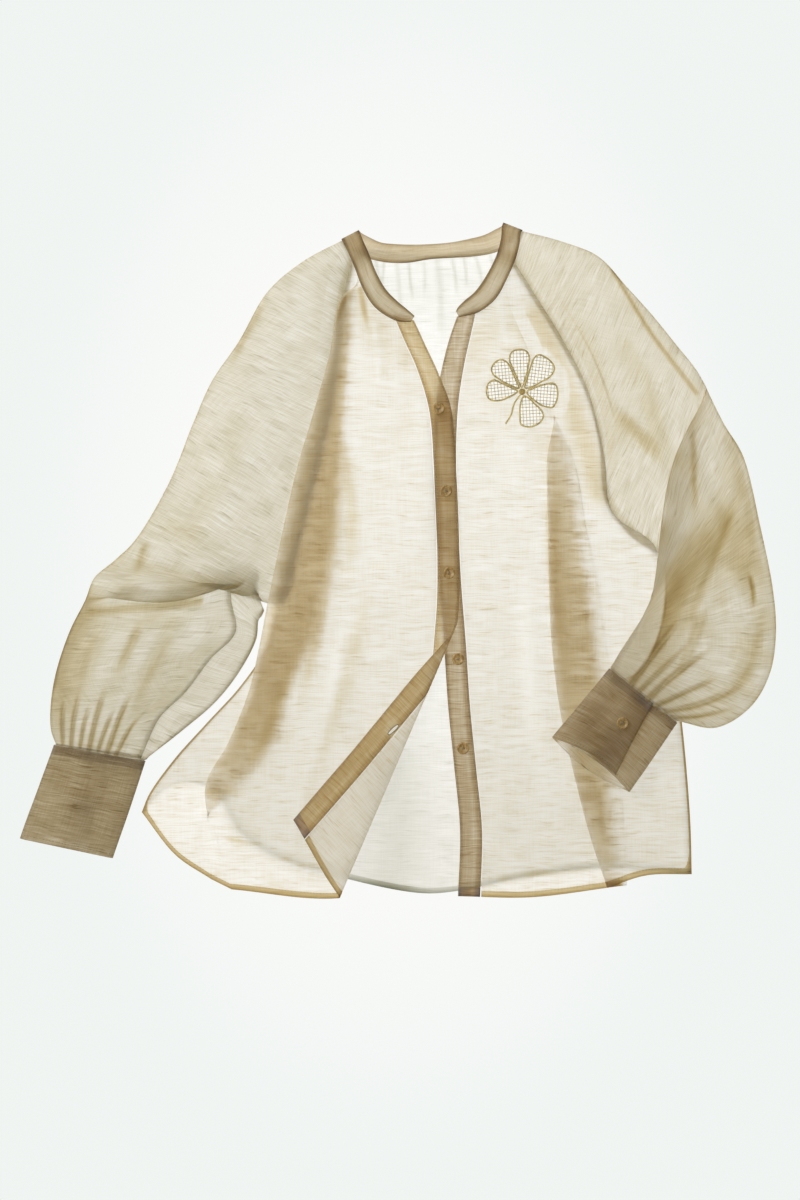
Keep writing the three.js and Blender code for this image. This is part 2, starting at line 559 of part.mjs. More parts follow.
function flowerOutline() {
  const heart = new THREE.Shape().absarc(0, 0, 4, 0, 2 * Math.PI);
  const line = curveThrough(STEM.map((q) => place(q).sub(FLOWER_CENTRE))).getPoints(6);
  const sideOf = (sign) =>
    line.map((p, k) => {
      const way = flatWay(line[Math.max(0, k - 1)], line[Math.min(line.length - 1, k + 1)]);
      return new THREE.Vector2(p.x - way.y * sign * (CORD / 2), p.y + way.x * sign * (CORD / 2));
    });
  const stem = new THREE.Shape([...sideOf(-1), ...sideOf(1).reverse()]);
  return PETALS.map((petal) => slab(petalShape(petal, 0)))
    .concat(slab(heart), slab(stem))
    .reduce((all, one) => all.add(one));
}

// ---- Buttons ---------------------------------------------------------------------------------------------------

function buttonGeometry() {
  const { radius, thick, hole, spacing } = BUTTON;
  const profile = [
    [0, 0], [radius - 1, 0], [radius, 0.8], [radius, thick - 0.6], [radius - 0.7, thick], [radius - 1.7, thick - 0.2],
    [radius - 2.4, thick - 0.8], [0, thick - 1],
  ];
  const disc = new THREE.LatheGeometry(profile.map(([x, y]) => new THREE.Vector2(x, y)), 20).rotateX(Math.PI / 2);
  const drill = (x) =>
    solidOf(new THREE.CylinderGeometry(hole, hole, 3 * thick, 8).rotateX(Math.PI / 2).translate(x, 0, thick / 2));
  return geometryOf(solidOf(disc).subtract(drill(-spacing / 2)).subtract(drill(spacing / 2)));
}

const BUTTONS = [
  { name: "button_1", at: [438.5, 409], z: RIGHT_EDGE_Z + BAND / 2 },
  { name: "button_2", at: [446, 491], z: RIGHT_EDGE_Z + BAND / 2 },
  { name: "button_3", at: [449, 573], z: RIGHT_EDGE_Z + BAND / 2 },
  { name: "button_4", at: [458, 659], z: LEFT_EDGE_Z + BAND / 2 },
  { name: "button_5", at: [463, 748], z: LEFT_EDGE_Z + BAND / 2 },
  { name: "button_cuff_left", at: [621, 722], z: CUFF_LEFT.base + CUFF_HEIGHT + BAND / 2 },
  { name: "button_cuff_right", at: [86, 806], z: -SEAM_GAP },
];

// ---- Assembly --------------------------------------------------------------------------------------------------

const garment = new THREE.Group();
function addPiece(name, geometry, look) {
  const mesh = new THREE.Mesh(geometry, look);
  mesh.name = name;
  garment.add(mesh);
  return mesh;
}

addPiece("back", wallOn(backGrid, CLOTH), linen());
addPiece("front_right", wallOn(frontRight.panel, CLOTH), linen());
addPiece("placket_right", wallOn(frontRight.placket, BAND), doubled());
addPiece("placket_left", wallOn(frontLeft.placket, BAND), doubled());
addPiece("sleeve_right", wallOn(sleeveRight, CLOTH), linen());
addPiece("sleeve_left", wallOn(sleeveLeft, CLOTH), linen());
addPiece("cuff_right", wallOn(cuffGrid(CUFF_RIGHT), BAND), doubled());
addPiece("cuff_left", wallOn(cuffGrid(CUFF_LEFT), BAND), doubled());
addPiece("neckband", wallOn(neckband, BAND), doubled());

// The left front is open behind each petal, and the flower lies on it.
const openings = PETALS.map((petal) => slab(petalShape(petal, CORD))).reduce((all, one) => all.add(one));
addPiece("front_left", geometryOf(solidOf(wallOn(frontLeft.panel, CLOTH)).subtract(openings)), linen());
const overPanel = solidOf(wallOn(movedOut(frontLeft.panel, -(CLOTH + 2 * SEAM_GAP)), CLOTH));
addPiece("flower", geometryOf(overPanel.intersect(flowerOutline())), thread());

for (const { name, at, z } of BUTTONS)
  addPiece(name, buttonGeometry(), shell()).position.copy(place(at, z + SEAM_GAP));

// The origin is at the middle of the underside of the whole garment.
const bounds = new THREE.Box3().setFromObject(garment);
const centre = bounds.getCenter(new THREE.Vector3());
for (const mesh of garment.children) mesh.position.sub(raised(centre, bounds.min.z));

export default garment;
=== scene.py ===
"""A sheer linen blouse laid on a light table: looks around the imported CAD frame.

The tables and the functions that lay the cloth are those of the CAD part, drawn finer and with thinner walls.
Places in them are [across, down] on the layout sheet in millimetres; inside the script y is minus down.
"""

import math

import bpy
import numpy as np
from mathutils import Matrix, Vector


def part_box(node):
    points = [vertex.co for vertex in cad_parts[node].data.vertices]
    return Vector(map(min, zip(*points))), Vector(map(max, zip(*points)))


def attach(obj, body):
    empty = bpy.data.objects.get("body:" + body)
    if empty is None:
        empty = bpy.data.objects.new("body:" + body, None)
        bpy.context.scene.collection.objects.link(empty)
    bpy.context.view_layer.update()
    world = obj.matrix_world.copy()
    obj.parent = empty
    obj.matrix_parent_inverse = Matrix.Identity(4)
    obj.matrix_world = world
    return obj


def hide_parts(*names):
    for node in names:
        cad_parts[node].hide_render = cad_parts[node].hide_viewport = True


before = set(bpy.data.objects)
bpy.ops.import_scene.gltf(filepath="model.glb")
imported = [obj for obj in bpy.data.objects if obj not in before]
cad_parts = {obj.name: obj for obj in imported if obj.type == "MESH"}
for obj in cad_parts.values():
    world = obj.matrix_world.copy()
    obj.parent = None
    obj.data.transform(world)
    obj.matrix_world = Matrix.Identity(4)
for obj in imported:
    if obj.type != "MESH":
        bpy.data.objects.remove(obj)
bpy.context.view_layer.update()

MM = 0.001
SHEET_ORIGIN = np.array([397.999, -560.725, 0.0])  # the row frame's origin on the layout sheet
TABLE_TOP = -0.0003  # metres
UP = [0, 0, 1.0]


def add_object(name, data):
    obj = bpy.data.objects.new(name, data)
    bpy.context.scene.collection.objects.link(obj)
    return obj


# ---- Camera ----

CAMERA_HEIGHT = 3.2
VIEW_LENGTH = 1.2  # what the frame's height takes in on the table
VIEW_CENTRE = (0.002, -0.0393)
SENSOR = 36


def add_camera():
    data = bpy.data.cameras.new("camera")
    data.sensor_fit = "VERTICAL"
    data.sensor_height = SENSOR
    data.lens = SENSOR * CAMERA_HEIGHT / VIEW_LENGTH
    data.clip_end = 50
    camera = add_object("camera", data)
    camera.location = (*VIEW_CENTRE, CAMERA_HEIGHT)
    bpy.context.scene.camera = camera


add_camera()


# ---- Curves and grids ----

CLOTH = 1.0  # the CAD walls of a single panel and of a doubled piece
BAND = 1.8
SEAM_GAP = 0.3
LAP = 5
PLACKET_WIDTH = 22
TURN_RADIUS = 3
CURVE_STEPS = 80  # for measuring a curve, between two of its points


def layer_over(z, below, above):
    return z + below / 2 + SEAM_GAP + above / 2


BACK_Z = CLOTH / 2
LAP_UNDER_Z = layer_over(BACK_Z, CLOTH, CLOTH)
LAP_OVER_Z = layer_over(LAP_UNDER_Z, CLOTH, CLOTH)
RAGLAN_Z = layer_over(LAP_OVER_Z, CLOTH, CLOTH)
SIDE_SEAM_Z = layer_over(BACK_Z, CLOTH, CLOTH)
LEFT_EDGE_Z = layer_over(BACK_Z, CLOTH, BAND)
RIGHT_EDGE_Z = layer_over(LEFT_EDGE_Z, BAND, BAND)
BACK_BAND_Z = layer_over(BACK_Z, CLOTH, BAND)
FRONT_BAND_Z = layer_over(RAGLAN_Z, CLOTH, BAND) + 0.2
PLEAT_STEP = 2.5
OVER_BODY_Z = 10


def place(q, z=0.0):
    return np.array([q[0], -q[1], z], float)


def mix(a, b, t):
    return a + (b - a) * t


def smooth(t):
    t = np.clip(t, 0, 1)
    return t * t * (3 - 2 * t)


def raised(p, z):
    return np.array([p[0], p[1], z], float)


def flat_way(a, b):
    d = (b - a) * [1, 1, 0]
    return d / np.linalg.norm(d)


def curve(points, shares):
    """A centripetal Catmull-Rom curve through points (n, ..., 3), at shares of the way counted in points."""
    p = np.asarray(points, float)
    n = len(p)
    padded = np.concatenate([[2 * p[0] - p[1]], p, [2 * p[-1] - p[-2]]])
    t = np.clip(np.asarray(shares, float), 0, 1) * (n - 1)
    i = np.minimum(t.astype(int), n - 2)
    w = (t - i).reshape(-1, *[1] * (p.ndim - 1))
    p0, p1, p2, p3 = (padded[i + k] for k in range(4))

    def gap(a, b):
        return np.sqrt(np.linalg.norm(b - a, axis=-1, keepdims=True))

    d0, d1, d2 = gap(p0, p1), gap(p1, p2), gap(p2, p3)
    d1 = np.where(d1 < 1e-4, 1, d1)
    d0 = np.where(d0 < 1e-4, d1, d0)
    d2 = np.where(d2 < 1e-4, d1, d2)
    m1 = ((p1 - p0) / d0 - (p2 - p0) / (d0 + d1) + (p2 - p1) / d1) * d1
    m2 = ((p2 - p1) / d1 - (p3 - p1) / (d1 + d2) + (p3 - p2) / d2) * d1
    c2 = -3 * p1 + 3 * p2 - 2 * m1 - m2
    c3 = 2 * p1 - 2 * p2 + m1 + m2
    return p1 + m1 * w + c2 * w**2 + c3 * w**3


def lengths(line):
    return np.concatenate([[0], np.cumsum(np.linalg.norm(np.diff(line, axis=0), axis=1))])


def interpolated(where, at, values):
    return np.stack([np.interp(where, at, values[:, k]) for k in range(3)], axis=-1)


def measured(points):
    dense = curve(points, np.linspace(0, 1, CURVE_STEPS * (len(points) - 1) + 1))
    return dense, lengths(dense)


def by_length(points, shares):
    """The same curve at shares of its length."""
    dense, at = measured(points)
    return interpolated(np.asarray(shares) * at[-1], at, dense)


def curve_length(points):
    return measured(points)[1][-1]


def unit(v):
    return v / np.maximum(np.linalg.norm(v, axis=-1, keepdims=True), 1e-9)


def grid_normals(grid):
    return unit(np.cross(np.gradient(grid, axis=1), np.gradient(grid, axis=0)))


# ---- Seams ----

RAGLAN_RIGHT = [
    (352, 262), (343.5, 292), (338, 330), (332, 380), (322, 435), (308, 495), (294, 550), (280, 600),
]
RAGLAN_LEFT = [
    (513.5, 262), (529, 286), (547, 315), (568, 350), (590, 397), (603, 450), (612, 512), (655, 547),
]
SIDE_RIGHT = [(280, 600), (269, 642), (243, 683), (206, 724), (173, 761), (150, 793), (142, 812)]
SIDE_LEFT = [(655, 547), (664, 610), (677, 685), (685, 755), (690, 820), (691.5, 874)]
RAGLAN_GAPS = 7


def on_seam(seam, gaps):
    return curve([place(q) for q in seam], [gaps / (len(seam) - 1)])[0]


def seam_place(raglan, side, gaps):
    return on_seam(raglan, gaps) if gaps <= RAGLAN_GAPS else on_seam(side, gaps - RAGLAN_GAPS)


# ---- Fronts ----

# edge, mid, first fold, second fold, flank, place down the seam
FRONT_RIGHT = [
    ((414, 321), (380, 307), (366, 284), (359, 271), (356, 265), 0),
    ((425, 345), (384, 332), (342, 298), (355, 296), (349, 295), 1.1),
    ((438, 373), (390, 362), (331, 350), (352, 350), (345, 351), 2.45),
    ((451, 409), (392, 410), (315, 409), (348, 410), (338, 411), 3.6),
    ((456, 470), (392, 470), (297, 470), (348, 471), (330, 473), 4.67),
    ((459, 540), (390, 541), (281, 541), (345, 542), (318, 543), 5.9),
    ((459, 600), (385, 602), (268, 603), (331, 600), (302, 599), 7),
    ((456, 640), (376, 644), (260, 645), (320, 642), (290, 642), 8.05),
    ((452, 690), (362, 693), (249, 692), (293, 688), (265, 688), 9.05),
    ((446, 740), (350, 745), (229, 742), (281, 737), (240, 732), 10),
    ((440, 790), (340, 798), (206, 786), (245, 783), (210, 776), 11),
    ((435, 840), (336, 850), (214, 830), (198, 824), (178, 813), 12.05),
    ((431, 878), (336, 898), (232, 889), (212, 879), (176, 855), 13),
]
FRONT_LEFT = [
    ((457, 317), (494, 297), (504, 281), (509, 270), (511, 266), 0),
    ((450, 337), (490, 326), (512, 312), (521, 305), (526, 299), 1.2),
    ((442, 368), (490, 362), (528, 350), (540, 345), (552, 341), 2.6),
    ((436, 405), (490, 407), (544, 402), (558, 399), (574, 397), 3.85),
    ((434, 460), (492, 461), (574, 461), (547, 460), (577, 458), 5.1),
    ((436, 520), (493, 522), (585, 522), (548, 522), (582, 516), 6.02),
    ((439, 580), (495, 583), (597, 582), (549, 583), (612, 562), 7),
    ((444, 645), (500, 648), (606, 648), (552, 648), (612, 634), 8.3),
    ((448, 705), (505, 709), (614, 712), (560, 710), (624, 700), 9.1),
    ((454, 765), (512, 770), (620, 772), (573, 770), (634, 766), 10.1),
    ((460, 830), (521, 834), (624, 832), (590, 836), (643, 828), 11.1),
    ((458, 896), (531, 897), (626, 885), (607, 887), (646, 875), 12),
]
TURN_TOP = place((450, 632))
TURN_FOOT = place((336, 898))
TURN_ACROSS = np.cross(flat_way(TURN_TOP, TURN_FOOT), [0, 0, -1])

PLEAT_ANGLES = np.radians(np.linspace(22.5, 157.5, 7))
PLEAT_INNER = 17
STEPS = {"placket": 11, "flap": 26, "roll": 12, "rest": 56, "seam": 12}
PANEL_TOP = STEPS["flap"] + STEPS["roll"] + STEPS["rest"]
ROLL_GAP = 4 * SEAM_GAP
LENGTH_STEP = 0.5  # for finding where a row meets the turn line


def beyond_turn(p):
    return ((p - TURN_TOP) * [1, 1, 0]) @ TURN_ACROSS


def turn_back(grid):
    """The grid with what lies beyond the turn line rolled over it."""
    reach = beyond_turn(grid)
    angle = np.clip(reach / TURN_RADIUS, 0, np.pi)
    returned = np.maximum(0, reach - np.pi * TURN_RADIUS)
    shift = np.where(reach > 0, TURN_RADIUS * np.sin(angle) - returned - reach, 0)
    out = grid + shift[..., None] * TURN_ACROSS
    out[..., 2] += np.where(reach > 0, TURN_RADIUS * (1 - np.cos(angle)), 0)
    return out


def pleat_points(first, second, inward, bottom, top):
    """One row across a pleat: round its first fold, back to the second and round that. Closed, it is a flat
    run."""
    width = (second - first) @ inward
    middle = (bottom + top) / 2
    is_open = width > 0
    radius = abs(top - bottom) / 4 if is_open else 0

    def turn(fold, way, a, b):
        return [
            raised(fold + way * radius * (math.sin(angle) - 1), mix(a, b, (1 - math.cos(angle)) / 2))
            for angle in PLEAT_ANGLES
        ]

    start = raised(first + inward * radius, middle)
    end = raised(second - inward * radius, middle)
    points = [
        *turn(first, -inward, top, middle),
        *[mix(start, end, t) for t in np.linspace(0, 1, PLEAT_INNER)],
        *turn(second, inward, middle, bottom),
    ]
    if not is_open:
        points = [raised(mix(first, second, t), middle) for t in np.linspace(0, 1, len(points))]
    return points, radius


def front_row(row, seam, edge_z, top, bottom):
    edge, mid, first, second, flank, gaps = row
    first, second = place(first), place(second)
    inward = flat_way(first, place(mid))
    pleat, radius = pleat_points(first, second, inward, bottom, top)
    near = raised(first + inward * (radius + 1), pleat[0][2])
    body = [place(edge, edge_z), place(mid, mix(edge_z, near[2], 0.3)), near]
    length = curve_length(body)
    ahead = by_length(body, np.arange(0, length, LENGTH_STEP) / length)
    inside = np.nonzero(beyond_turn(ahead) <= 0)[0]
    turned = inside[0] * LENGTH_STEP if len(inside) and inside[0] > 0 else 0
    roll = math.pi * TURN_RADIUS * 1.1
    start = PLACKET_WIDTH + ROLL_GAP
    turn_at = max(turned, start + roll + 4)
    stops = np.concatenate([
        np.linspace(start, turn_at - roll, STEPS["flap"], endpoint=False),
        np.linspace(turn_at - roll, turn_at, STEPS["roll"], endpoint=False),
        np.linspace(turn_at, length, STEPS["rest"]),
    ])
    on_raglan = gaps <= RAGLAN_GAPS
    seam_z = RAGLAN_Z if on_raglan else SIDE_SEAM_Z
    last = pleat[-1]
    away = place(flank, seam_z if on_raglan else mix(last[2], seam_z, 0.5))
    outer = by_length([last, away, raised(seam, seam_z)], np.linspace(0, 1, STEPS["seam"] + 1))[1:]
    placket = by_length(body, np.linspace(0, PLACKET_WIDTH, STEPS["placket"] + 1) / length)
    return placket, np.concatenate([by_length(body, stops / length), pleat, outer])


def front_grids(table, raglan, side, heights, shares):
    rows = [front_row(row, seam_place(raglan, side, row[5]), *heights(i)) for i, row in enumerate(table)]
    return [curve(np.array([row[k] for row in rows]), shares) for k in (0, 1)]


def right_heights(i):
    edge = (3, 4)[i] if i < 2 else RIGHT_EDGE_Z
    return (edge, 3.4, 3.4) if i == 0 else (edge, RAGLAN_Z + PLEAT_STEP, RAGLAN_Z - PLEAT_STEP)


def left_heights(i):
    return (LEFT_EDGE_Z, 3, 3.6) if i < 4 else (LEFT_EDGE_Z, LEFT_EDGE_Z, LEFT_EDGE_Z + 2 * PLEAT_STEP)


# ---- Back ----

BACK = [
    [(352, 262), (362, 252), (430, 256), (504, 250), (513.5, 262)],
    [(343.5, 292), (430, 296), (531, 290)],
    [(338, 330), (430, 335), (557, 330)],
    [(332, 380), (430, 384), (582, 380)],
    [(322, 435), (430, 440), (600, 435)],
    [(308, 495), (430, 500), (609, 490)],
    [(301, 522), (430, 528), (612, 512)],
    [(294, 550), (430, 560), (652, 545.5)],
    [(280, 600), (430, 612), (662, 600)],
    [(269, 642), (432, 658), (671, 648)],
    [(243, 683), (434, 705), (679, 700)],
    [(206, 724), (434, 752), (685, 752)],
    [(173, 761), (214, 768), (262, 795), (430, 818), (688.5, 800)],
    [(142, 812), (163, 790), (190, 782), (216, 792), (240, 832), (275, 856), (340, 877), (420, 893),
     (457, 891), (520, 878), (600, 868), (691.5, 874)],
]


# ---- Sleeves ----

SLEEVE_RIGHT = [
    dict(outer=(343, 240.5), seam=0, rise=3.1),
    dict(outer=(303, 262), seam=0.9, rise=7),
    dict(outer=(268, 292), seam=1.9, rise=10),
    dict(outer=(239, 342), seam=3, rise=12),
    dict(outer=(212, 382), seam=4, rise=14),
    dict(outer=(193, 425), seam=5, rise=16),
    dict(outer=(170, 482), seam=6, rise=19),
    dict(outer=(136, 540), seam=7, rise=23),
    dict(outer=(116, 560), inner=(259, 600), flat=True, rise=25),
    dict(outer=(95, 578), inner=(264, 611), over=(256, 586), rise=26),
    dict(outer=(88, 595), inner=(263, 615), over=(259, 578), crest=(172, 602), rise=24),
    dict(outer=(86, 600), inner=(262, 619), over=(250, 582), crest=(172, 602), rise=17, tuck=15),
    dict(outer=(83, 606), inner=(261, 623), over=(232, 592), crest=(172, 604), rise=13),
    dict(outer=(71, 630), inner=(257, 639), over=(236, 632), rise=24),
    dict(outer=(57, 672), inner=(243, 671), over=(211, 659), rise=30),
    dict(outer=(51.5, 706), inner=(219, 702), over=(186, 692), rise=28),
    dict(outer=(52, 730), inner=(184, 731), over=(160, 718), rise=21, lift=1.5),
    dict(outer=(56.5, 743.5), inner=(147, 759.5), over=(142, 757), rise=10, lift=3),
]
SLEEVE_LEFT = [
    dict(outer=(521.5, 231.5), seam=0, rise=3.1),
    dict(outer=(560, 241.5), seam=1.3, rise=8),
    dict(outer=(598, 257), seam=2.6, rise=12),
    dict(outer=(626, 287), seam=3.8, rise=15),
    dict(outer=(653, 317), seam=4.8, rise=16),
    dict(outer=(676, 345.5), seam=5.7, rise=15),
    dict(outer=(695, 369), seam=6.5, rise=12),
    dict(outer=(704, 384), seam=7, rise=8),
    dict(outer=(705, 386), inner=(668, 552), flat=True, rise=8),
    dict(outer=(706, 388), inner=(663, 557), over=(688, 562), crest=(693, 450), rise=7),
    dict(outer=(707, 391), inner=(652, 592), over=(651, 596), crest=(671, 466), rise=17),
    dict(outer=(723, 424), inner=(649, 602), over=(649, 603), rise=26),
    dict(outer=(742, 456), inner=(646, 608), over=(646, 609), rise=32),
    dict(outer=(759, 525), inner=(641, 618), over=(641, 618), rise=36),
    dict(outer=(772, 590), inner=(634, 629), over=(634, 629), rise=38),
    dict(outer=(775, 633), inner=(628, 638), over=(628, 638), rise=37),
    dict(outer=(769, 673), inner=(622, 647), over=(622, 647), rise=35),
    dict(outer=(750, 706), inner=(617, 655), over=(617, 655), rise=32, lift=2),
    dict(outer=(715, 727), inner=(612.5, 662.5), over=(612.5, 662.5), rise=27, lift=6),
    dict(outer=(677, 720.5), inner=(609.5, 667), over=(609.5, 667), rise=20, lift=OVER_BODY_Z - BACK_Z),
]
SLEEVE_STEPS = {"curl": 6, "bottom": 24, "turn": 12, "top": 64}
CURL_RADIUS = 1.4
CURL_HIDDEN = 5


def sleeve_row(row, raglan, body):
    on_raglan = "seam" in row or "flat" in row
    outer = place(row["outer"])
    inner = place(row["inner"]) if "inner" in row else on_seam(raglan, row["seam"])
    inward = flat_way(outer, inner)
    outer_z = BACK_Z + row.get("lift", 0)

    def floor_at(p):
        if on_raglan:
            return outer_z
        return mix(outer_z, body["z"], float(smooth((body["off"] - p[0]) / (body["off"] - body["on"]))))

    inner_z = floor_at(inner)
    lap_end, lap_root = inner + inward * LAP, inner - inward * LAP
    over = lap_end if on_raglan else place(row["over"])
    if on_raglan:
        curl = [raised(p, LAP_UNDER_Z) for p in (lap_end, inner, lap_root)]
    else:
        curl = [
            raised(over - inward * CURL_HIDDEN, inner_z + 2 * CURL_RADIUS),
            raised(inner, inner_z + CURL_RADIUS),
            raised(inner - inward * 3 * CURL_RADIUS, inner_z),
        ]
    radius = float(np.clip(row["rise"] * 0.2, (LAP_OVER_Z - BACK_Z) / 2, 6))
    centre = raised(outer + inward * radius, outer_z + radius)
    turn = [
        raised(centre - inward * radius * math.cos(a), centre[2] + radius * math.sin(a))
        for a in np.radians(np.linspace(-90, 90, SLEEVE_STEPS["turn"] + 1))
    ]
    bottom = []
    for t in np.arange(1, SLEEVE_STEPS["bottom"]) / SLEEVE_STEPS["bottom"]:
        p = mix(curl[2], turn[0], t)
        settled = smooth(t * SLEEVE_STEPS["bottom"] / 4)
        bottom.append(raised(p, mix(curl[2][2], floor_at(p), settled)))
    over_z = LAP_OVER_Z if on_raglan else inner_z + 2 * CURL_RADIUS + CLOTH + SEAM_GAP + 0.4
    dome_end = over - inward * (LAP + body["level"] if on_raglan else LAP)
    crest = [place(row["crest"])] if "crest" in row else []
    line = [raised(turn[-1], 0), *crest, dome_end]
    up = np.array([-inward[1], inward[0], 0])
    if up[1] < 0:
        up = -up
    t = np.linspace(0, 1, SLEEVE_STEPS["top"] + 1)
    tuck = row.get("tuck", 0)
    top = by_length(line, t) + (tuck * smooth(t * 3))[:, None] * up
    high = max(0, row["rise"] - mix(turn[-1][2], over_z, 0.5))
    top[:, 2] = mix(turn[-1][2], over_z, t) + high * np.sin(np.pi * t)
    start = by_length(curl, np.linspace(0, 1, SLEEVE_STEPS["curl"] + 1))
    return np.concatenate([start, bottom, turn[:-1], top, [raised(over + up * tuck, over_z)]])


def sleeve_grid(table, raglan, body, shares):
    grid = curve(np.array([sleeve_row(row, raglan, body) for row in table]), shares)
    grid[..., 2] = np.maximum(grid[..., 2], BACK_Z)
    return grid


SLEEVE_TOP = SLEEVE_STEPS["curl"] + SLEEVE_STEPS["bottom"] + SLEEVE_STEPS["turn"] // 2


# ---- Neckband and cuffs ----

# seam, free edge, height
NECKBAND = [
    ((411, 322), (414.5, 316.5), 5.2), ((399.6, 321.3), (406, 309), 5.3), ((387.6, 315.8), (397.5, 302), 5.5),
    ((374.2, 305.1), (385.5, 289.5), 5.8), ((363.5, 287.7), (376, 272.5), 6.1),
    ((355.5, 267), (368.8, 254.2), FRONT_BAND_Z), ((349, 252), (363, 241), FRONT_BAND_Z),
    ((344.2, 242), (360, 233.5), FRONT_BAND_Z), ((342.8, 239.4), (359, 231), (FRONT_BAND_Z + BACK_BAND_Z) / 2),
    ((345, 242.5), (361, 233), BACK_BAND_Z), ((356, 253), (369, 237.5), BACK_BAND_Z),
    ((370, 258), (381, 242.8), BACK_BAND_Z), ((388, 261.5), (394, 244.3), BACK_BAND_Z),
    ((408, 261.8), (411, 245), BACK_BAND_Z), ((430, 258.5), (430, 244.5), BACK_BAND_Z),
    ((453, 257), (450.5, 242.8), BACK_BAND_Z), ((474, 255.5), (468, 239.5), BACK_BAND_Z),
    ((493, 252), (484, 235.4), BACK_BAND_Z), ((508, 245), (495, 230), BACK_BAND_Z),
    ((518, 234.5), (502, 226), BACK_BAND_Z), ((521, 230.5), (503, 223.5), (FRONT_BAND_Z + BACK_BAND_Z) / 2),
    ((519.5, 233), (501.8, 227), FRONT_BAND_Z), ((518.2, 243), (501, 238), FRONT_BAND_Z),
    ((514.5, 258), (497, 254), FRONT_BAND_Z), ((506, 278), (488, 273), 5.9), ((494, 299), (475.5, 291.5), 5.2),
    ((477.3, 312), (463.5, 302), 4.6), ((463.9, 316), (457.5, 308.5), 4.4), ((458.6, 317), (456, 312), 4.4),
]
CUFF_HEIGHT = 12
# left, right, overlap edge, hidden end, upper and lower bow of the rim
CUFF_RIGHT = dict(base=2.8 + BAND / 2, side=-1, sections=[
    ((55.5, 744.6), (146, 760.4), 0.66, 0.4, 0, 0),
    ((38.5, 791), (130, 808.5), 0.66, 0.4, 0, 0),
    ((21.5, 837.5), (113.4, 857), 0.66, 0.4, 0, 0),
])
CUFF_LEFT = dict(base=OVER_BODY_Z + BAND / 2 - CLOTH / 2, side=1, sections=[
    ((608.5, 668.5), (675.5, 722), 0.64, 0.12, 0, 0),
    ((580, 703), (652, 756.5), 0.7, 0.16, 3, -3),
    ((551.5, 737), (628, 791), 0.77, 0.21, 9, -6),
])
CUFF_ARC, CUFF_FLAT = 10, 24


def cuff_path(width, hidden_at, edge_at):
    step = BAND + SEAM_GAP
    rise = CUFF_HEIGHT / 2
    small = (CUFF_HEIGHT - step) / 2

    def arc(x, y, radius, a, b):
        angle = np.radians(np.linspace(a, b, CUFF_ARC))
        return np.stack([x + radius * np.cos(angle), y + radius * np.sin(angle)], axis=1)

    def flat(a, b, y):
        x = mix(a, b, np.arange(1, CUFF_FLAT) / CUFF_FLAT)
        return np.stack([x, np.full(len(x), float(y))], axis=1)

    return np.concatenate([
        [[hidden_at * width, rise - step]],
        flat(hidden_at * width, width - small, rise - step),
        arc(width - small, -step / 2, small, 90, -90),
        flat(width - small, rise, -rise),
        arc(rise, 0, rise, -90, -270),
        flat(rise, edge_at * width, rise),
        [[edge_at * width, rise]],
    ])


def cuff_grid(cuff, shares):
    sections = cuff["sections"]
    up = flat_way(place(sections[-1][0]), place(sections[0][0]))
    rows = []
    for left, right, edge, hidden, front, back in sections:
        start, end = place(left), place(right)
        width = np.linalg.norm(end - start)
        path = cuff_path(width, hidden, edge)
        level = path[:, 1] / (CUFF_HEIGHT / 2)
        bow = np.sin(np.pi * np.clip(path[:, 0] / width, 0, 1)) * mix(back, front, (level + 1) / 2)
        p = start + path[:, :1] * flat_way(start, end) + bow[:, None] * up
        p[:, 2] = cuff["base"] + CUFF_HEIGHT / 2 + cuff["side"] * path[:, 1]
        rows.append(p)
    return curve(np.array(rows), shares)


# ---- Creases ----

CREASE_STEPS = 24


def segments_distance(xy, line):
    """For points (..., 2): the distance from a polyline and the share of its length at the nearest place."""
    at = lengths(line)
    best = np.full(xy.shape[:-1], 1e9)
    share = np.zeros(xy.shape[:-1])
    for a, b, s in zip(line[:-1], line[1:], at[:-1]):
        d = b - a
        t = np.clip(((xy - a) @ d) / (d @ d), 0, 1)
        far = np.linalg.norm(xy - a - t[..., None] * d, axis=-1)
        closer = far < best
        best = np.where(closer, far, best)
        share = np.where(closer, (s + t * np.linalg.norm(d)) / at[-1], share)
    return best, share


def add_creases(grid, ply_and_shade, creases, columns, strength, relief=1.0):
    """Raises or lowers grid along each crease and adds to the cloth's layer count there. That count is painted
    fold shade, partly standing for folded-over cloth, and painted light where it is below none. A crease is
    (line, width, height, shade, ends): ends is 0 to fade towards both ends, 1 to keep its start and 2 to keep
    both."""
    part = grid[:, columns]
    xy = part[..., :2].copy()
    for line, width, height, extra, ends in creases:
        bends = curve([place(q) for q in line], np.linspace(0, 1, CREASE_STEPS))[:, :2]
        far, share = segments_distance(xy, bends)
        start = 1 if ends else smooth(share / 0.3)
        end = 1 if ends == 2 else smooth((1 - share) / 0.45)
        weight = np.exp(-((far / width) ** 2)) * start * end
        part[..., 2] += relief * height * weight
        ply_and_shade[:, columns] += strength * extra * weight


def undulation(xy, size, seed):
    """Smooth noise of about one unit over size millimetres, the same each run."""
    rng = np.random.default_rng(seed)
    total = np.zeros(xy.shape[:-1])
    for _ in range(7):
        angle, phase = rng.uniform(0, 2 * np.pi, 2)
        way = np.array([np.cos(angle), np.sin(angle)]) * 2 * np.pi / (size * rng.uniform(0.7, 1.8))
        total += np.sin(xy @ way + phase)
    return total / 4


# ---- Meshes ----

def to_row(p):
    return (np.asarray(p, float) - SHEET_ORIGIN) * MM


def new_object(name, points, faces, smooth_shaded=True):
    mesh = bpy.data.meshes.new(name)
    mesh.from_pydata(to_row(points).tolist(), [], [tuple(map(int, f)) for f in faces])
    mesh.update()
    mesh.polygons.foreach_set("use_smooth", [smooth_shaded] * len(mesh.polygons))
    return add_object(name, mesh)


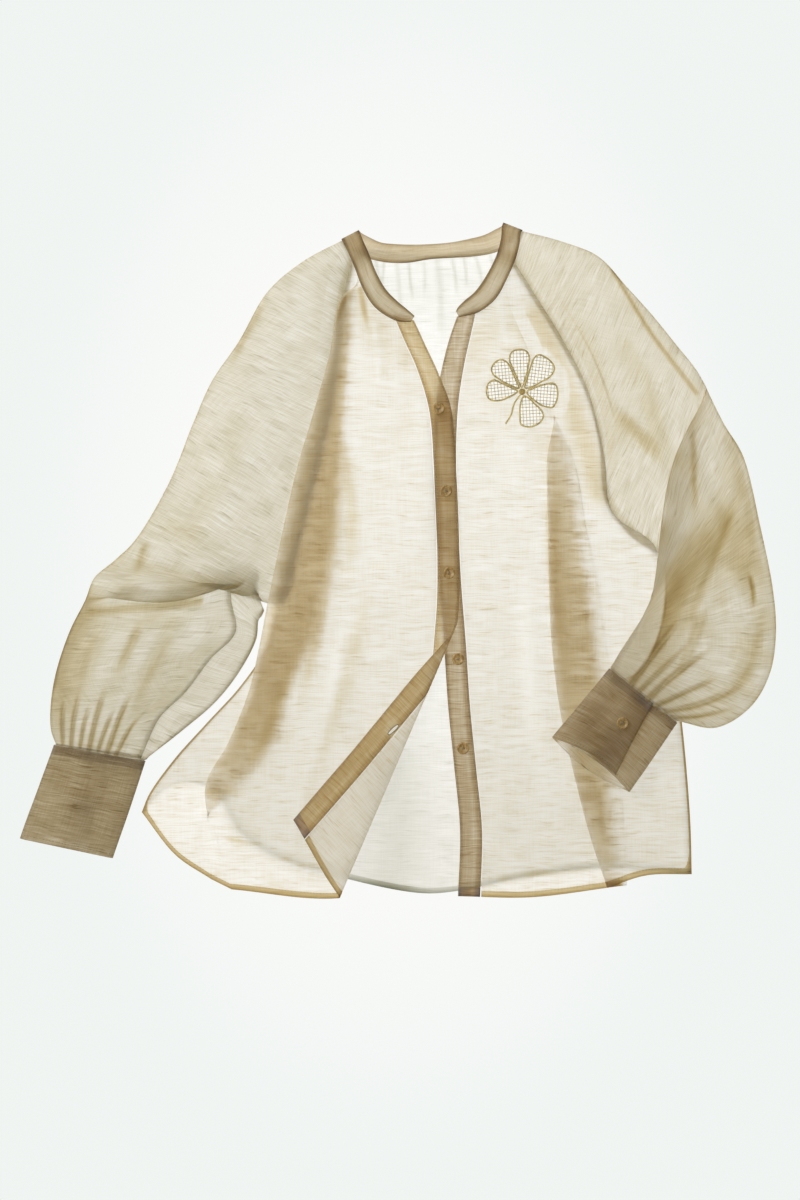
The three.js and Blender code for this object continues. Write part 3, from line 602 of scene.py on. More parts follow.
def read(data, key, size=1, kind=float):
    values = np.zeros(len(data) * size, kind)
    data.foreach_get(key, values)
    return values if size == 1 else values.reshape(-1, size)


def set_points(obj, name, values):
    attribute = obj.data.attributes.get(name) or obj.data.attributes.new(name, "FLOAT", "POINT")
    attribute.data.foreach_set("value", np.asarray(values, np.float32).ravel())


def set_uv(obj, uv):
    """uv in millimetres for each point."""
    layer = obj.data.uv_layers.get("cloth") or obj.data.uv_layers.new(name="cloth")
    index = read(obj.data.loops, "vertex_index", kind=np.int32)
    layer.data.foreach_set("uv", (np.asarray(uv)[index] * MM).astype(np.float32).ravel())


def shell(name, grid, uv, thick, ply_and_shade, edge):
    """A thin closed wall on a grid: thick, ply and edge are given for each of its points."""
    rows, columns = grid.shape[:2]
    normals = grid_normals(grid)
    half = np.broadcast_to(thick, (rows, columns))[..., None] / 2
    points = np.concatenate([(grid + normals * half).reshape(-1, 3), (grid - normals * half).reshape(-1, 3)])
    n = rows * columns
    at = np.arange(n).reshape(rows, columns)
    a, b, c, d = at[:-1, :-1], at[:-1, 1:], at[1:, 1:], at[1:, :-1]
    top = np.stack([a, b, c, d], axis=-1).reshape(-1, 4)
    rim = []
    for line in (at[0][::-1], at[:, 0], at[-1], at[:, -1][::-1]):
        rim.append(np.stack([line[1:], line[:-1], line[:-1] + n, line[1:] + n], axis=1)[:, ::-1])
    faces = np.concatenate([top, top[:, ::-1] + n, *rim])
    obj = new_object(name, points, faces)
    for key, values in (("ply_and_shade", ply_and_shade), ("edge", edge)):
        values = np.broadcast_to(values, (rows, columns)).ravel()
        set_points(obj, key, np.concatenate([values, values]))
    set_uv(obj, np.concatenate([uv.reshape(-1, 2), uv.reshape(-1, 2)]))
    return obj


def grid_uv(grid):
    """Millimetres along the rows and down the columns of a grid."""
    across = np.linalg.norm(np.diff(grid, axis=1), axis=-1).cumsum(axis=1)
    u = np.concatenate([np.zeros((len(grid), 1)), across], axis=1)
    step = np.linalg.norm(np.diff(grid, axis=0), axis=-1).mean(axis=1, keepdims=True).cumsum(axis=0)
    v = np.concatenate([[[0]], step]) + np.zeros(grid.shape[:2])
    return np.stack([u, v], axis=-1)


def from_end(grid, axis, last=True):
    """How far each point is, along its row or column, from the grid's last or first line."""
    g = np.moveaxis(grid, axis, 0)
    g = g[::-1] if last else g
    steps = np.linalg.norm(np.diff(g, axis=0), axis=-1)
    far = np.concatenate([np.zeros((1, g.shape[1])), steps.cumsum(axis=0)])
    return np.moveaxis(far[::-1] if last else far, 0, axis)


def tubes(name, lines, radius, sides=6):
    """One mesh of round cords along lines of points; a line that ends where it starts is closed."""
    points, faces = [], []
    base = 0
    ring_angle = (np.arange(sides) * 2 * np.pi / sides)[None, :, None]
    for line in lines:
        line = np.asarray(line, float)
        closed = np.linalg.norm(line[0] - line[-1]) < 1e-6
        if closed:
            line = line[:-1]
            way = unit(np.roll(line, -1, axis=0) - np.roll(line, 1, axis=0))
        else:
            way = unit(np.gradient(line, axis=0))
        side = unit(np.cross(way, UP))
        over = np.cross(side, way)
        around = radius * np.cos(ring_angle) * side[:, None] + radius * np.sin(ring_angle) * over[:, None]
        ring = line[:, None] + around
        points.append(ring.reshape(-1, 3))
        at = base + np.arange(len(line) * sides).reshape(-1, sides)
        after = np.roll(at, -1, axis=0) if closed else at[1:]
        here = at if closed else at[:-1]
        walls = np.stack([here, after, np.roll(after, -1, axis=1), np.roll(here, -1, axis=1)], axis=-1)
        faces += walls.reshape(-1, 4).tolist()
        if not closed:
            faces += [at[0].tolist(), at[-1][::-1].tolist()]
        base += at.size
    return new_object(name, np.concatenate(points), faces)


STITCH_PITCH, STITCH_LENGTH = 3.2, 2.4
STITCH_HALF_WIDTH, STITCH_HALF_HEIGHT = 0.2, 0.17
STITCH_ARCH = 0.05  # how far a stitch's middle stands off its ends


def stitches(name, lines):
    """A run of short threads along each (points, normals) line, as one mesh."""
    points, faces = [], []
    shape = np.array([[0, 2, 4], [2, 1, 4], [1, 3, 4], [3, 0, 4], [2, 0, 5], [1, 2, 5], [3, 1, 5], [0, 3, 5]])
    for line, normals in lines:
        at = lengths(line)
        middle = np.arange(STITCH_PITCH, at[-1] - STITCH_PITCH / 2, STITCH_PITCH)
        if not len(middle):
            continue
        before, after = (interpolated(middle + way * STITCH_LENGTH / 2, at, line) for way in (-1, 1))
        n = interpolated(middle, at, normals)
        n /= np.linalg.norm(n, axis=1, keepdims=True)
        side = np.cross(after - before, n)
        side /= np.linalg.norm(side, axis=1, keepdims=True)
        here = interpolated(middle, at, line) + n * STITCH_ARCH
        side, over = side * STITCH_HALF_WIDTH, n * STITCH_HALF_HEIGHT
        block = np.stack([before, after, here + side, here - side, here + over, here - over], axis=1)
        start = sum(len(p) for p in points)
        points.append(block.reshape(-1, 3))
        faces.append((shape[None] + start + 6 * np.arange(len(middle))[:, None, None]).reshape(-1, 3))
    return new_object(name, np.concatenate(points), np.concatenate(faces))


def surface_line(grid, thick, row=None, column=None, side=1):
    """A grid's row or column, moved to the wall's face, with its normals."""
    normals = grid_normals(grid) * side
    line = grid[row] if column is None else grid[:, column]
    n = normals[row] if column is None else normals[:, column]
    return line + n * thick / 2, n


def inset_row(grid, thick, distance, side=1):
    """The line at a distance from the grid's last row, on the wall's face, with its normals."""
    far = from_end(grid, 0)
    normals = grid_normals(grid) * side
    line, n = [], []
    for c in range(grid.shape[1]):
        order = np.argsort(far[:, c])
        for found, values in ((line, grid), (n, normals)):
            found.append(interpolated(distance, far[order, c], values[order, c]))
    return np.array(line) + np.array(n) * thick / 2, np.array(n)


def cut(obj, cutters):
    """Takes the cutters out of obj and removes them."""
    for cutter in cutters:
        modifier = obj.modifiers.new("cut", "BOOLEAN")
        modifier.operation = "DIFFERENCE"
        modifier.solver = "EXACT"
        modifier.object = cutter
    bpy.context.view_layer.update()
    evaluated = obj.evaluated_get(bpy.context.evaluated_depsgraph_get())
    mesh = bpy.data.meshes.new_from_object(evaluated)
    obj.modifiers.clear()
    obj.data = mesh
    for cutter in cutters:
        bpy.data.objects.remove(cutter)


def prism(name, outline, low, high):
    """A closed block over an outline (n, 2) on the layout sheet, y up."""
    n = len(outline)
    points = np.concatenate([np.c_[outline, np.full(n, z)] for z in (low, high)])
    sides = [(k, (k + 1) % n, (k + 1) % n + n, k + n) for k in range(n)]
    return new_object(name, points, [range(n)[::-1], range(n, 2 * n), *sides], False)


# ---- Materials ----

class Nodes:
    """A short way to write the node tree of a material or a world."""

    def __init__(self, owner):
        owner.use_nodes = True
        self.owner, self.tree = owner, owner.node_tree
        self.tree.nodes.clear()

    def add(self, kind, settings=None, **inputs):
        """A new node. An input is named i and its number, or by its name with _ for spaces."""
        node = self.tree.nodes.new(kind)
        for key, value in (settings or {}).items():
            setattr(node, key, value)
        for key, value in inputs.items():
            numbered = key[0] == "i" and key[1:].isdigit()
            socket = node.inputs[int(key[1:]) if numbered else key.replace("_", " ")]
            if isinstance(value, bpy.types.NodeSocket):
                self.tree.links.new(value, socket)
            else:
                socket.default_value = value
        return node

    def math(self, operation, a, b=0.0, c=0.0):
        return self.add("ShaderNodeMath", {"operation": operation}, i0=a, i1=b, i2=c).outputs[0]

    def ramp(self, value, low, high, to_low=0.0, to_high=1.0, smooth=True):
        kind = "SMOOTHSTEP" if smooth else "LINEAR"
        return self.add("ShaderNodeMapRange", {"interpolation_type": kind, "clamp": True},
                        i0=value, i1=low, i2=high, i3=to_low, i4=to_high).outputs[0]

    def attribute(self, name):
        return self.add("ShaderNodeAttribute", {"attribute_name": name}).outputs["Fac"]

    def place(self):
        return self.add("ShaderNodeTexCoord").outputs["Object"]

    def noise(self, vector, scale, detail=2.0, roughness=0.5, **more):
        return self.add("ShaderNodeTexNoise", None, Vector=vector, Scale=scale, Detail=detail,
                        Roughness=roughness, **more).outputs[0]

    def scaled(self, vector, factors, offset=(0, 0, 0)):
        return self.add("ShaderNodeMapping", None, Vector=vector, Scale=factors, Location=offset).outputs[0]

    def blend(self, share, a, b):
        """From colour a to colour b."""
        a, b = (c if isinstance(c, bpy.types.NodeSocket) else (*c, 1) for c in (a, b))
        return self.add("ShaderNodeMix", {"data_type": "RGBA"}, i0=share, i6=a, i7=b).outputs[2]

    def bump(self, height, strength, distance):
        return self.add("ShaderNodeBump", None, Strength=strength, Distance=distance, Height=height).outputs[0]

    def finish(self, shader, kind="ShaderNodeOutputMaterial"):
        self.tree.links.new(shader, self.add(kind).inputs["Surface"])
        return self.owner

    def translucent(self, share, front, colour, **more):
        """The material: front, and light through it in a colour over a share of it."""
        back = self.add("ShaderNodeBsdfTranslucent", None, Color=colour, **more).outputs[0]
        both = self.add("ShaderNodeMixShader", None, i0=share, i1=front.outputs[0], i2=back)
        return self.finish(both.outputs[0])


# Repeats in a metre along and across the weave, for noise that draws each
ALONG_YARN, ALONG_SLUB, ALONG_PATCH = (30, 860, 1), (48, 640, 1), (13, 230, 1)
WARP = (ALONG_YARN[1], ALONG_YARN[0], 1)
WANDER, WANDER_BY = (30, 30, 1), (0.004, 0.006, 0)
SLUB_AMOUNT, PATCH_AMOUNT, WARP_AMOUNT = 1.5, 0.16, 0.22
EDGE_SOFT = 0.35
LEAST_LAYERS = 0.05
LINEN_TINT = (0.80, 0.76, 0.68)
LINEN_DARK = (0.80 * 0.62, 0.76 * 0.52, 0.68 * 0.40)
LINEN_SCATTER = 0.07


def linen(name, passes, seed, band=9, band_ply=2.4, slubs=1.0, steep_shade=3.0, warmth=(1.0, 1.0), dense=0.0):
    """Sheer slubbed linen. passes is the colour of the light that one layer lets through. The cloth's layer
    count carries painted fold and crumple shade besides its layers. band is the width in millimetres of its
    turned-in edge, which counts as band_ply layers. Steep cloth counts as up to the factor for steep cloth
    times more: painted shade on slopes, fold sides and outlines, which face the table's light less. warmth is
    what each layer after the first takes from green and blue besides. dense is how much more the turned-in
    edge scatters."""
    k = Nodes(bpy.data.materials.new(name))
    uv = k.add("ShaderNodeUVMap", {"uv_map": "cloth"}).outputs[0]
    shift = (seed, 1.7 * seed, 0)
    wander = k.noise(k.scaled(uv, WANDER, shift), 1.0, 2)
    both_ways = k.add("ShaderNodeCombineXYZ", None, X=wander, Y=wander).outputs[0]
    bent = k.add("ShaderNodeVectorMath", {"operation": "MULTIPLY_ADD"},
                 i0=both_ways, i1=WANDER_BY, i2=uv).outputs[0]
    yarn = k.noise(k.scaled(bent, ALONG_YARN, shift), 1.0, 2, 0.6)
    slub = k.noise(k.scaled(bent, ALONG_SLUB, shift), 1.0, 1, 0.4)
    patch = k.noise(k.scaled(bent, ALONG_PATCH, shift), 1.0, 3, 0.6)
    warp = k.noise(k.scaled(bent, WARP, shift), 1.0, 1, 0.5)
    streak = k.math("ADD", k.ramp(yarn, 0.3, 0.75, -0.75, 1.1, False),
                    k.math("MULTIPLY", k.ramp(slub, 0.62, 0.76), SLUB_AMOUNT))
    for noise, amount in ((patch, PATCH_AMOUNT), (warp, WARP_AMOUNT)):
        streak = k.math("ADD", streak, k.ramp(noise, 0.3, 0.7, -amount, amount, False))
    layers = k.math("MULTIPLY", k.attribute("ply_and_shade"),
                    k.ramp(k.attribute("edge"), band - EDGE_SOFT, band + EDGE_SOFT, band_ply, 1.0))
    # Painted shade: steep cloth counts as more layers, so slopes, fold sides and outlines turn darker.
    normal = k.add("ShaderNodeNewGeometry").outputs["Normal"]
    facing = k.add("ShaderNodeSeparateXYZ", None, i0=normal).outputs[2]
    steep = k.math("SUBTRACT", 1.0, k.math("ABSOLUTE", facing))
    layers = k.math("MULTIPLY", layers, k.math("MULTIPLY_ADD", steep, steep_shade, 1.0))
    count = k.math("MAXIMUM", k.math("ADD", k.math("MULTIPLY", streak, slubs), layers), LEAST_LAYERS)
    half = k.math("MULTIPLY", count, 0.5)  # light crosses both faces of the wall
    extra = k.math("MAXIMUM", k.math("SUBTRACT", layers, 1.0), 0.0)
    red = k.math("POWER", passes[0], half)
    green, blue = (
        k.math("MULTIPLY", k.math("POWER", passes[i], half), k.math("POWER", warmth[i - 1], extra))
        for i in (1, 2)
    )
    through = k.add("ShaderNodeCombineColor", None, Red=red, Green=green, Blue=blue).outputs[0]
    surface = k.blend(k.ramp(streak, -0.6, 1.6, 0.0, 0.8, False), LINEN_TINT, LINEN_DARK)
    height = k.math("ADD", k.math("MULTIPLY", yarn, 0.6), k.math("MULTIPLY", warp, 0.4))
    bump = k.bump(height, 0.35, 0.0003)
    front = k.add("ShaderNodeBsdfPrincipled", None, Base_Color=surface, Roughness=0.85, Normal=bump,
                  Sheen_Weight=0.15, Specular_IOR_Level=0.15)
    share = k.ramp(layers, 0.0, 0.6, 1.0, 1 - LINEN_SCATTER, False)
    if dense:
        share = k.math("SUBTRACT", share, k.ramp(layers, 1.7, 3.0, 0.0, dense, False))
    return k.translucent(share, front, through, Normal=bump)


def thread(name, colour, scatter):
    k = Nodes(bpy.data.materials.new(name))
    twist = k.noise(k.place(), 1800.0, 2)
    tone = k.ramp(k.noise(k.place(), 260.0, 3), 0.3, 0.7)
    c = k.blend(tone, [0.85 * v for v in colour], [min(1, 1.12 * v) for v in colour])
    bump = k.bump(twist, 0.5, 0.0003)
    front = k.add("ShaderNodeBsdfPrincipled", None, Base_Color=c, Roughness=0.7, Normal=bump)
    return k.translucent(1 - scatter, front, c, Normal=bump)


def amber_shell(name):
    k = Nodes(bpy.data.materials.new(name))
    mottle = k.noise(k.scaled(k.place(), (420, 180, 300)), 1.0, 4, 0.6, Distortion=0.8)
    fleck = k.noise(k.scaled(k.place(), (1400, 900, 900)), 1.0, 2)
    base = k.blend(k.ramp(mottle, 0.35, 0.68), (0.50, 0.35, 0.13), (0.88, 0.70, 0.36))
    c = k.blend(k.ramp(fleck, 0.62, 0.75, 0, 0.5), base, (0.95, 0.80, 0.50))
    front = k.add("ShaderNodeBsdfPrincipled", None, Base_Color=c,
                  Roughness=k.ramp(fleck, 0.3, 0.7, 0.22, 0.38), Normal=k.bump(mottle, 0.12, 0.0002),
                  Coat_Weight=0.5, Coat_Roughness=0.12)
    return k.translucent(0.6, front, c)


def finish_piece(obj, material, slot, *nodes):
    obj.data.materials.clear()
    obj.data.materials.append(material)
    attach(obj, "root")
    if nodes:
        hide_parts(*nodes)
    return obj


# ---- Cloth pieces ----

PLY_WALL = 0.45  # a single panel's wall
BAND_WALL = 1.1  # a doubled piece's wall
HEM = 6
NO_EDGE = 60  # the edge attribute where no turned-in edge is near
SHEER = 0.6  # what the fronts' single cloth counts
PLEAT_PLY = 7.0
PLEAT_FADE = 16
# Painted fold shade: how strongly the fronts' creases darken the cloth.
CREASE_SHADE = 3.5
SIDE_SEAM_ROW = 6.3  # where down the fronts' tables the side seam begins
HEM_TO_SEAM = 2.7  # how much wider a hem is than a seam's turned edge
HEM_THICKER = 1.8
# How dark each pleat is at the rows of its front's table
PLEAT_RIGHT = [0, 0.5, 0.65, 0.85, 0.9, 0.92, 0.92, 0.86, 0.9, 0.66, 0.2, -0.04, 0]
PLEAT_LEFT = [0, 0, 0, 0, 0.14, 0.5, 0.68, 0.68, 0.64, 0.62, 0.3, 0.05]

ROWS = np.linspace(0, 1, 150)
TURN_COUNT = len(PLEAT_ANGLES)


def pleat_ply(grid, table, raglan, amounts, soft, turns):
    """More layers' worth of cloth inside the pleat, and less where it lies on the sleeve. soft is how much of
    its width each side takes to fade. turns is what its two folds count besides, and where that is less than
    none, the cloth near the fold fades too."""
    ply_and_shade = np.full(grid.shape[:2], SHEER)
    s = np.linspace(0, 1, PLEAT_INNER)
    lines = []
    for row, amount in zip(table, amounts):
        first, second = place(row[2]), place(row[3])
        inward = flat_way(first, place(row[1]))
        width = (second - first) @ inward
        reach = (on_seam(raglan, row[5]) - first) @ inward + LAP if 0 < row[5] <= RAGLAN_GAPS else -100
        off_sleeve = smooth((s - reach / width) / 0.08 + 0.5) if width > 0 else np.ones(len(s))
        inner = smooth(s / soft[0]) * smooth((1 - s) / soft[1]) * mix(0.72, 1, off_sleeve)
        thin = smooth(s / 0.4) if turns[0] < 0 else smooth((1 - s) / 0.4)
        is_open = float(width > 0)
        lines.append(np.concatenate([
            np.full(TURN_COUNT, turns[0] * (amount if turns[0] > 0 else is_open)),
            (PLEAT_PLY - SHEER) * amount * inner + SHEER * (thin - 1) * is_open,
            np.full(TURN_COUNT, turns[1] * (amount if turns[1] > 0 else is_open)), [is_open],
        ]))
    at = ROWS * (len(table) - 1)
    *added, opened = (np.interp(at, np.arange(len(table)), c) for c in np.transpose(lines))
    start, end = PANEL_TOP, PANEL_TOP + len(added)
    ply_and_shade[:, start:end] += np.stack(added, axis=1)
    if turns[0] < 0:
        far = from_end(grid[:, : start + 1], 1)[:, :start]
        ply_and_shade[:, :start] *= mix(1, smooth(far / PLEAT_FADE), smooth(opened * 4)[:, None])
    else:
        far = from_end(grid[:, end - 1 :], 1, False)[:, 1:]
        ply_and_shade[:, end:] *= mix(1, smooth(far / PLEAT_FADE), smooth(opened * 4)[:, None])
    return np.maximum(ply_and_shade, 0)


# Creases as (line, width, height, shade, ends). The shade column is painted fold shade along the line, partly
# standing for folded-over cloth, and painted light where it is below zero. A crease with no height is painted
# shade alone.
FRONT_RIGHT_CREASES = [
    ([(368, 312), (380, 336), (402, 356)], 17, 0.0, 0.26, 2),
    ([(353, 270), (344.5, 297), (336, 324), (332, 340)], 2.8, 0.0, 1.5, 1),
    ([(400, 330), (404, 400), (406, 480)], 14, 0.0, 0.12, 0),
    ([(357.8, 276), (362, 300), (368.4, 334)], 2.5, 0.8, 1.2, 1),
    ([(372, 306), (378, 345), (380, 400)], 5, 1.0, -0.15, 0),
    ([(392, 318), (396, 360), (398, 430)], 6, 0.8, -0.15, 0),
    ([(340, 420), (352, 520), (345, 600)], 7, 0.8, 0.5, 0),
    ([(372, 560), (352, 660), (318, 760), (290, 850)], 9, 1.0, 0.35, 0),
    ([(330, 560), (316, 640), (298, 720)], 6, 0.8, 0.6, 0),
    ([(300, 640), (268, 730), (235, 800)], 7, 0.9, 0.6, 0),
    ([(345, 600), (330, 700), (300, 800), (280, 870)], 6, 0.7, -0.2, 0),
    ([(223, 838), (238, 841), (252, 843)], 1.6, 0.2, 0.8, 0),
    ([(275, 854), (296, 862), (316, 867)], 1.6, 0.2, 0.8, 0),
    ([(180, 800), (220, 790), (262, 800)], 5, 0.6, 0.5, 0),
]
FRONT_LEFT_CREASES = [
    ([(462, 350), (490, 332), (512, 316)], 18, 0.0, 0.26, 2),
    ([(506, 318), (530, 350), (556, 392), (572, 430)], 7, 0.5, 0.3, 0),
    ([(478, 320), (482, 380), (480, 460)], 14, 0.0, 0.15, 0),
    ([(545, 400), (560, 470), (590, 560)], 22, 0.0, 0.3, 0),
    ([(516, 285), (522, 320), (524, 350)], 4, 0.7, 0.8, 1),
    ([(500, 305), (505, 340), (508, 372)], 5, 0.7, -0.2, 1),
    ([(533, 300), (552, 350), (560, 395)], 5, 0.5, 0.8, 0),
    ([(552, 470), (553, 560), (560, 640), (566, 700)], 5, 0.3, 1.4, 0),
    ([(575, 520), (585, 620), (596, 720), (606, 820)], 6, 0.3, 0.8, 0),
    ([(520, 560), (528, 680), (540, 800)], 10, 0.8, -0.15, 0),
    ([(484, 881), (519, 876), (558, 871), (597, 866.5)], 1.4, 0.1, 0.9, 0),
    ([(598, 790), (604, 840), (614, 884)], 4, 0.3, 1.0, 1),
]
BY_LEFT_RAGLAN = [
    ([(536, 316), (552, 352), (570, 402), (587, 450), (597, 492)], 12, 0.0, 0.7, 2),
]
# The back's broad folds and the gathers under the neckband: painted shade along each, from the shade column.
BACK_CREASES = [
    ([(350, 300), (430, 292), (522, 300)], 40, 0.0, 0.45, 2),
    ([(395, 770), (396, 830), (390, 885)], 26, 0.0, 0.9, 2),
    ([(376, 262), (379, 280), (377, 310)], 1.6, 0.05, 1.5, 1),
    ([(384, 263), (383, 275), (380, 296)], 1.3, 0.05, 1.6, 1),
    ([(397, 264), (399, 285), (402, 325)], 2.0, 0.05, 1.0, 1),
    ([(409, 264), (410, 279), (414, 305)], 1.4, 0.05, 1.6, 1),
    ([(424, 262), (425, 276), (424, 300)], 1.6, 0.05, 1.0, 1),
    ([(437, 260), (440, 285), (442, 350)], 3.0, 0.05, 0.9, 1),
    ([(452, 259), (455, 274), (457, 300)], 1.5, 0.05, 1.4, 1),
    ([(464, 259), (466, 272), (467, 292)], 1.3, 0.05, 1.5, 1),
    ([(476, 258), (480, 272), (484, 296)], 1.6, 0.05, 1.2, 1),
    ([(490, 256), (494, 268), (498, 284)], 1.3, 0.05, 1.3, 1),
]


def make_front(name, grid, table, raglan, creases, amounts, soft, turns, side_of_turn):
    """One front's panel, with hem and seam edges, pleat and creases."""
    ply_and_shade = pleat_ply(grid, table, raglan, amounts, soft, turns)
    uv = grid[..., :2].copy()
    seam_edge = from_end(grid, 1) + np.where(
        ROWS * (len(table) - 1) > SIDE_SEAM_ROW, 0, 1.5 * NO_EDGE)[:, None]
    edge = np.minimum(np.minimum(from_end(grid, 0), NO_EDGE), seam_edge * HEM_TO_SEAM)
    top = slice(0, PANEL_TOP)
    off_edge = smooth(from_end(grid, 1, False)[:, top] / 40)
    grid[:, top, 2] += 0.35 * (1 + undulation(uv[:, top], 60, side_of_turn)) * off_edge
    add_creases(grid, ply_and_shade, creases, top, CREASE_SHADE)
    if side_of_turn == 2:
        outer = slice(PANEL_TOP + PLEAT_INNER + 2 * TURN_COUNT, None)
        add_creases(grid, ply_and_shade, BY_LEFT_RAGLAN, outer, CREASE_SHADE)
    laid = turn_back(grid) if side_of_turn == 1 else grid
    thick = PLY_WALL * np.where(edge < HEM, HEM_THICKER, 1.0)
    return laid, shell(name, laid, uv, thick, ply_and_shade, edge)


# The left panel's and placket's columns run the other way across, so their normals face down.
placket_right, panel_right = front_grids(FRONT_RIGHT, RAGLAN_RIGHT, SIDE_RIGHT, right_heights, ROWS)
placket_left, panel_left = front_grids(FRONT_LEFT, RAGLAN_LEFT, SIDE_LEFT, left_heights, ROWS)
panel_right, front_right = make_front("front_right_cloth", panel_right, FRONT_RIGHT, RAGLAN_RIGHT,
                                      FRONT_RIGHT_CREASES, PLEAT_RIGHT, (0.14, 0.3), (0.6, -SHEER), 1)
panel_left, front_left = make_front("front_left_cloth", panel_left, FRONT_LEFT, RAGLAN_LEFT,
                                    FRONT_LEFT_CREASES, PLEAT_LEFT, (0.75, 0.1), (-SHEER, 0.5), 2)


def make_placket(name, grid, turned):
    """A front band, with darker rims, a lighter stitched line and less where the two bands lie on each
    other."""
    uv = grid[..., :2].copy()
    across = np.linspace(0, 1, grid.shape[1])[None]
    rim = np.maximum(smooth((0.2 - across) / 0.12), smooth((across - 0.74) / 0.1))
    line = np.exp(-(((across - 0.62) / 0.07) ** 2))
    ply_and_shade = (1.35 if turned else 1.02) + 0.5 * rim - 0.25 * line + 0.14 * undulation(uv * [1, 0.25], 22, 3)
    if turned:
        at = ROWS * (len(FRONT_RIGHT) - 1)
        ply_and_shade -= 0.6 * (smooth((at - 3.2) / 0.5) * smooth((8.2 - at) / 0.8))[:, None]
    ply_and_shade *= mix(0.76, 1, smooth((-grid[..., 1] - 385) / 20))
    edge = from_end(grid, 0)
    grid[..., 2] += 0.3 * np.sin(np.pi * across)
    laid = turn_back(grid) if turned else grid
    return laid, shell(name, laid, uv, BAND_WALL, ply_and_shade, edge)


placket_right, strip_right = make_placket("placket_right_cloth", placket_right, True)
placket_left, strip_left = make_placket("placket_left_cloth", placket_left, False)


def make_back():
    stations = np.array([by_length([place(q, BACK_Z) for q in line], np.linspace(0, 1, 110)) for line in BACK])
    grid = curve(stations, ROWS)
    ply_and_shade = np.ones(grid.shape[:2])
    uv = grid[..., :2].copy()
    add_creases(grid, ply_and_shade, BACK_CREASES, slice(None), 1.5)
    grid[..., 2] = np.clip(grid[..., 2], BACK_Z, BACK_Z + 0.3)
    return shell("back_cloth", grid, uv, PLY_WALL, ply_and_shade, from_end(grid, 0))


back = make_back()

# Sleeve creases, as on the fronts: the shade column is painted fold and gather shade, and painted light where
# it is below zero.
SLEEVE_RIGHT_CREASES = [
    ([(270, 295), (243, 342), (225, 380)], 3.5, 0.0, 0.9, 0),
    ([(350, 280), (341, 306), (332, 331)], 2.6, 0.0, 2.2, 1),
    ([(92, 611), (129, 608), (172, 605), (209.5, 599), (238, 588), (262, 580)], 3.5, -0.8, 1.3, 2),
    ([(229.6, 593.5), (229.6, 613.6), (238, 622), (236.8, 634), (212, 657), (184, 694), (161, 717),
      (140.6, 737)], 2.2, 0.5, 2.2, 2),
    ([(230, 598), (248, 601), (266, 603)], 1.8, -0.3, 1.6, 0),
    ([(148, 539), (144, 558), (138, 579)], 4, 1.2, 0.9, 0),
    ([(160, 520), (200, 545), (240, 565)], 10, 1.5, 0.3, 0),
    ([(128, 560), (170, 578), (214, 578), (248, 566)], 10, 1.0, 0.4, 0),
    ([(232, 605), (260, 606)], 6, 0.0, -0.5, 2),
    ([(143.5, 622), (131, 650), (115, 680)], 4, 1.2, 1.0, 0),
    ([(180, 612), (160, 650), (140, 690), (128, 730)], 7, 1.4, 0.6, 0),
    ([(110, 618), (92, 660), (84, 710)], 8, 1.4, 0.5, 0),
    ([(84, 606), (68, 650), (60, 700), (60, 742)], 17, 0.0, 1.2, 1),
    ([(222, 470), (200, 530), (190, 560)], 12, 1.0, 0.25, 0),
    ([(240, 400), (232, 450), (236, 500)], 9, 0.8, 0.3, 0),
    ([(64, 744), (64, 722), (66, 695)], 1.8, 1.2, 1.4, 1),
    ([(72, 746), (76, 718), (84, 684)], 1.8, 1.3, 1.3, 1),
    ([(81, 747), (86, 724), (94, 698)], 1.6, 1.2, 1.4, 1),
    ([(90, 749), (98, 718), (110, 680)], 2.0, 1.4, 1.3, 1),
    ([(99, 750), (107, 728), (117, 704)], 1.6, 1.2, 1.3, 1),
    ([(108, 752), (119, 722), (136, 684)], 2.0, 1.4, 1.3, 1),
    ([(117, 754), (128, 732), (141, 712)], 1.6, 1.2, 1.4, 1),
    ([(126, 755), (140, 730), (158, 702)], 1.9, 1.2, 1.2, 1),
    ([(135, 757), (146, 742), (158, 728)], 1.6, 1.0, 1.4, 1),
]
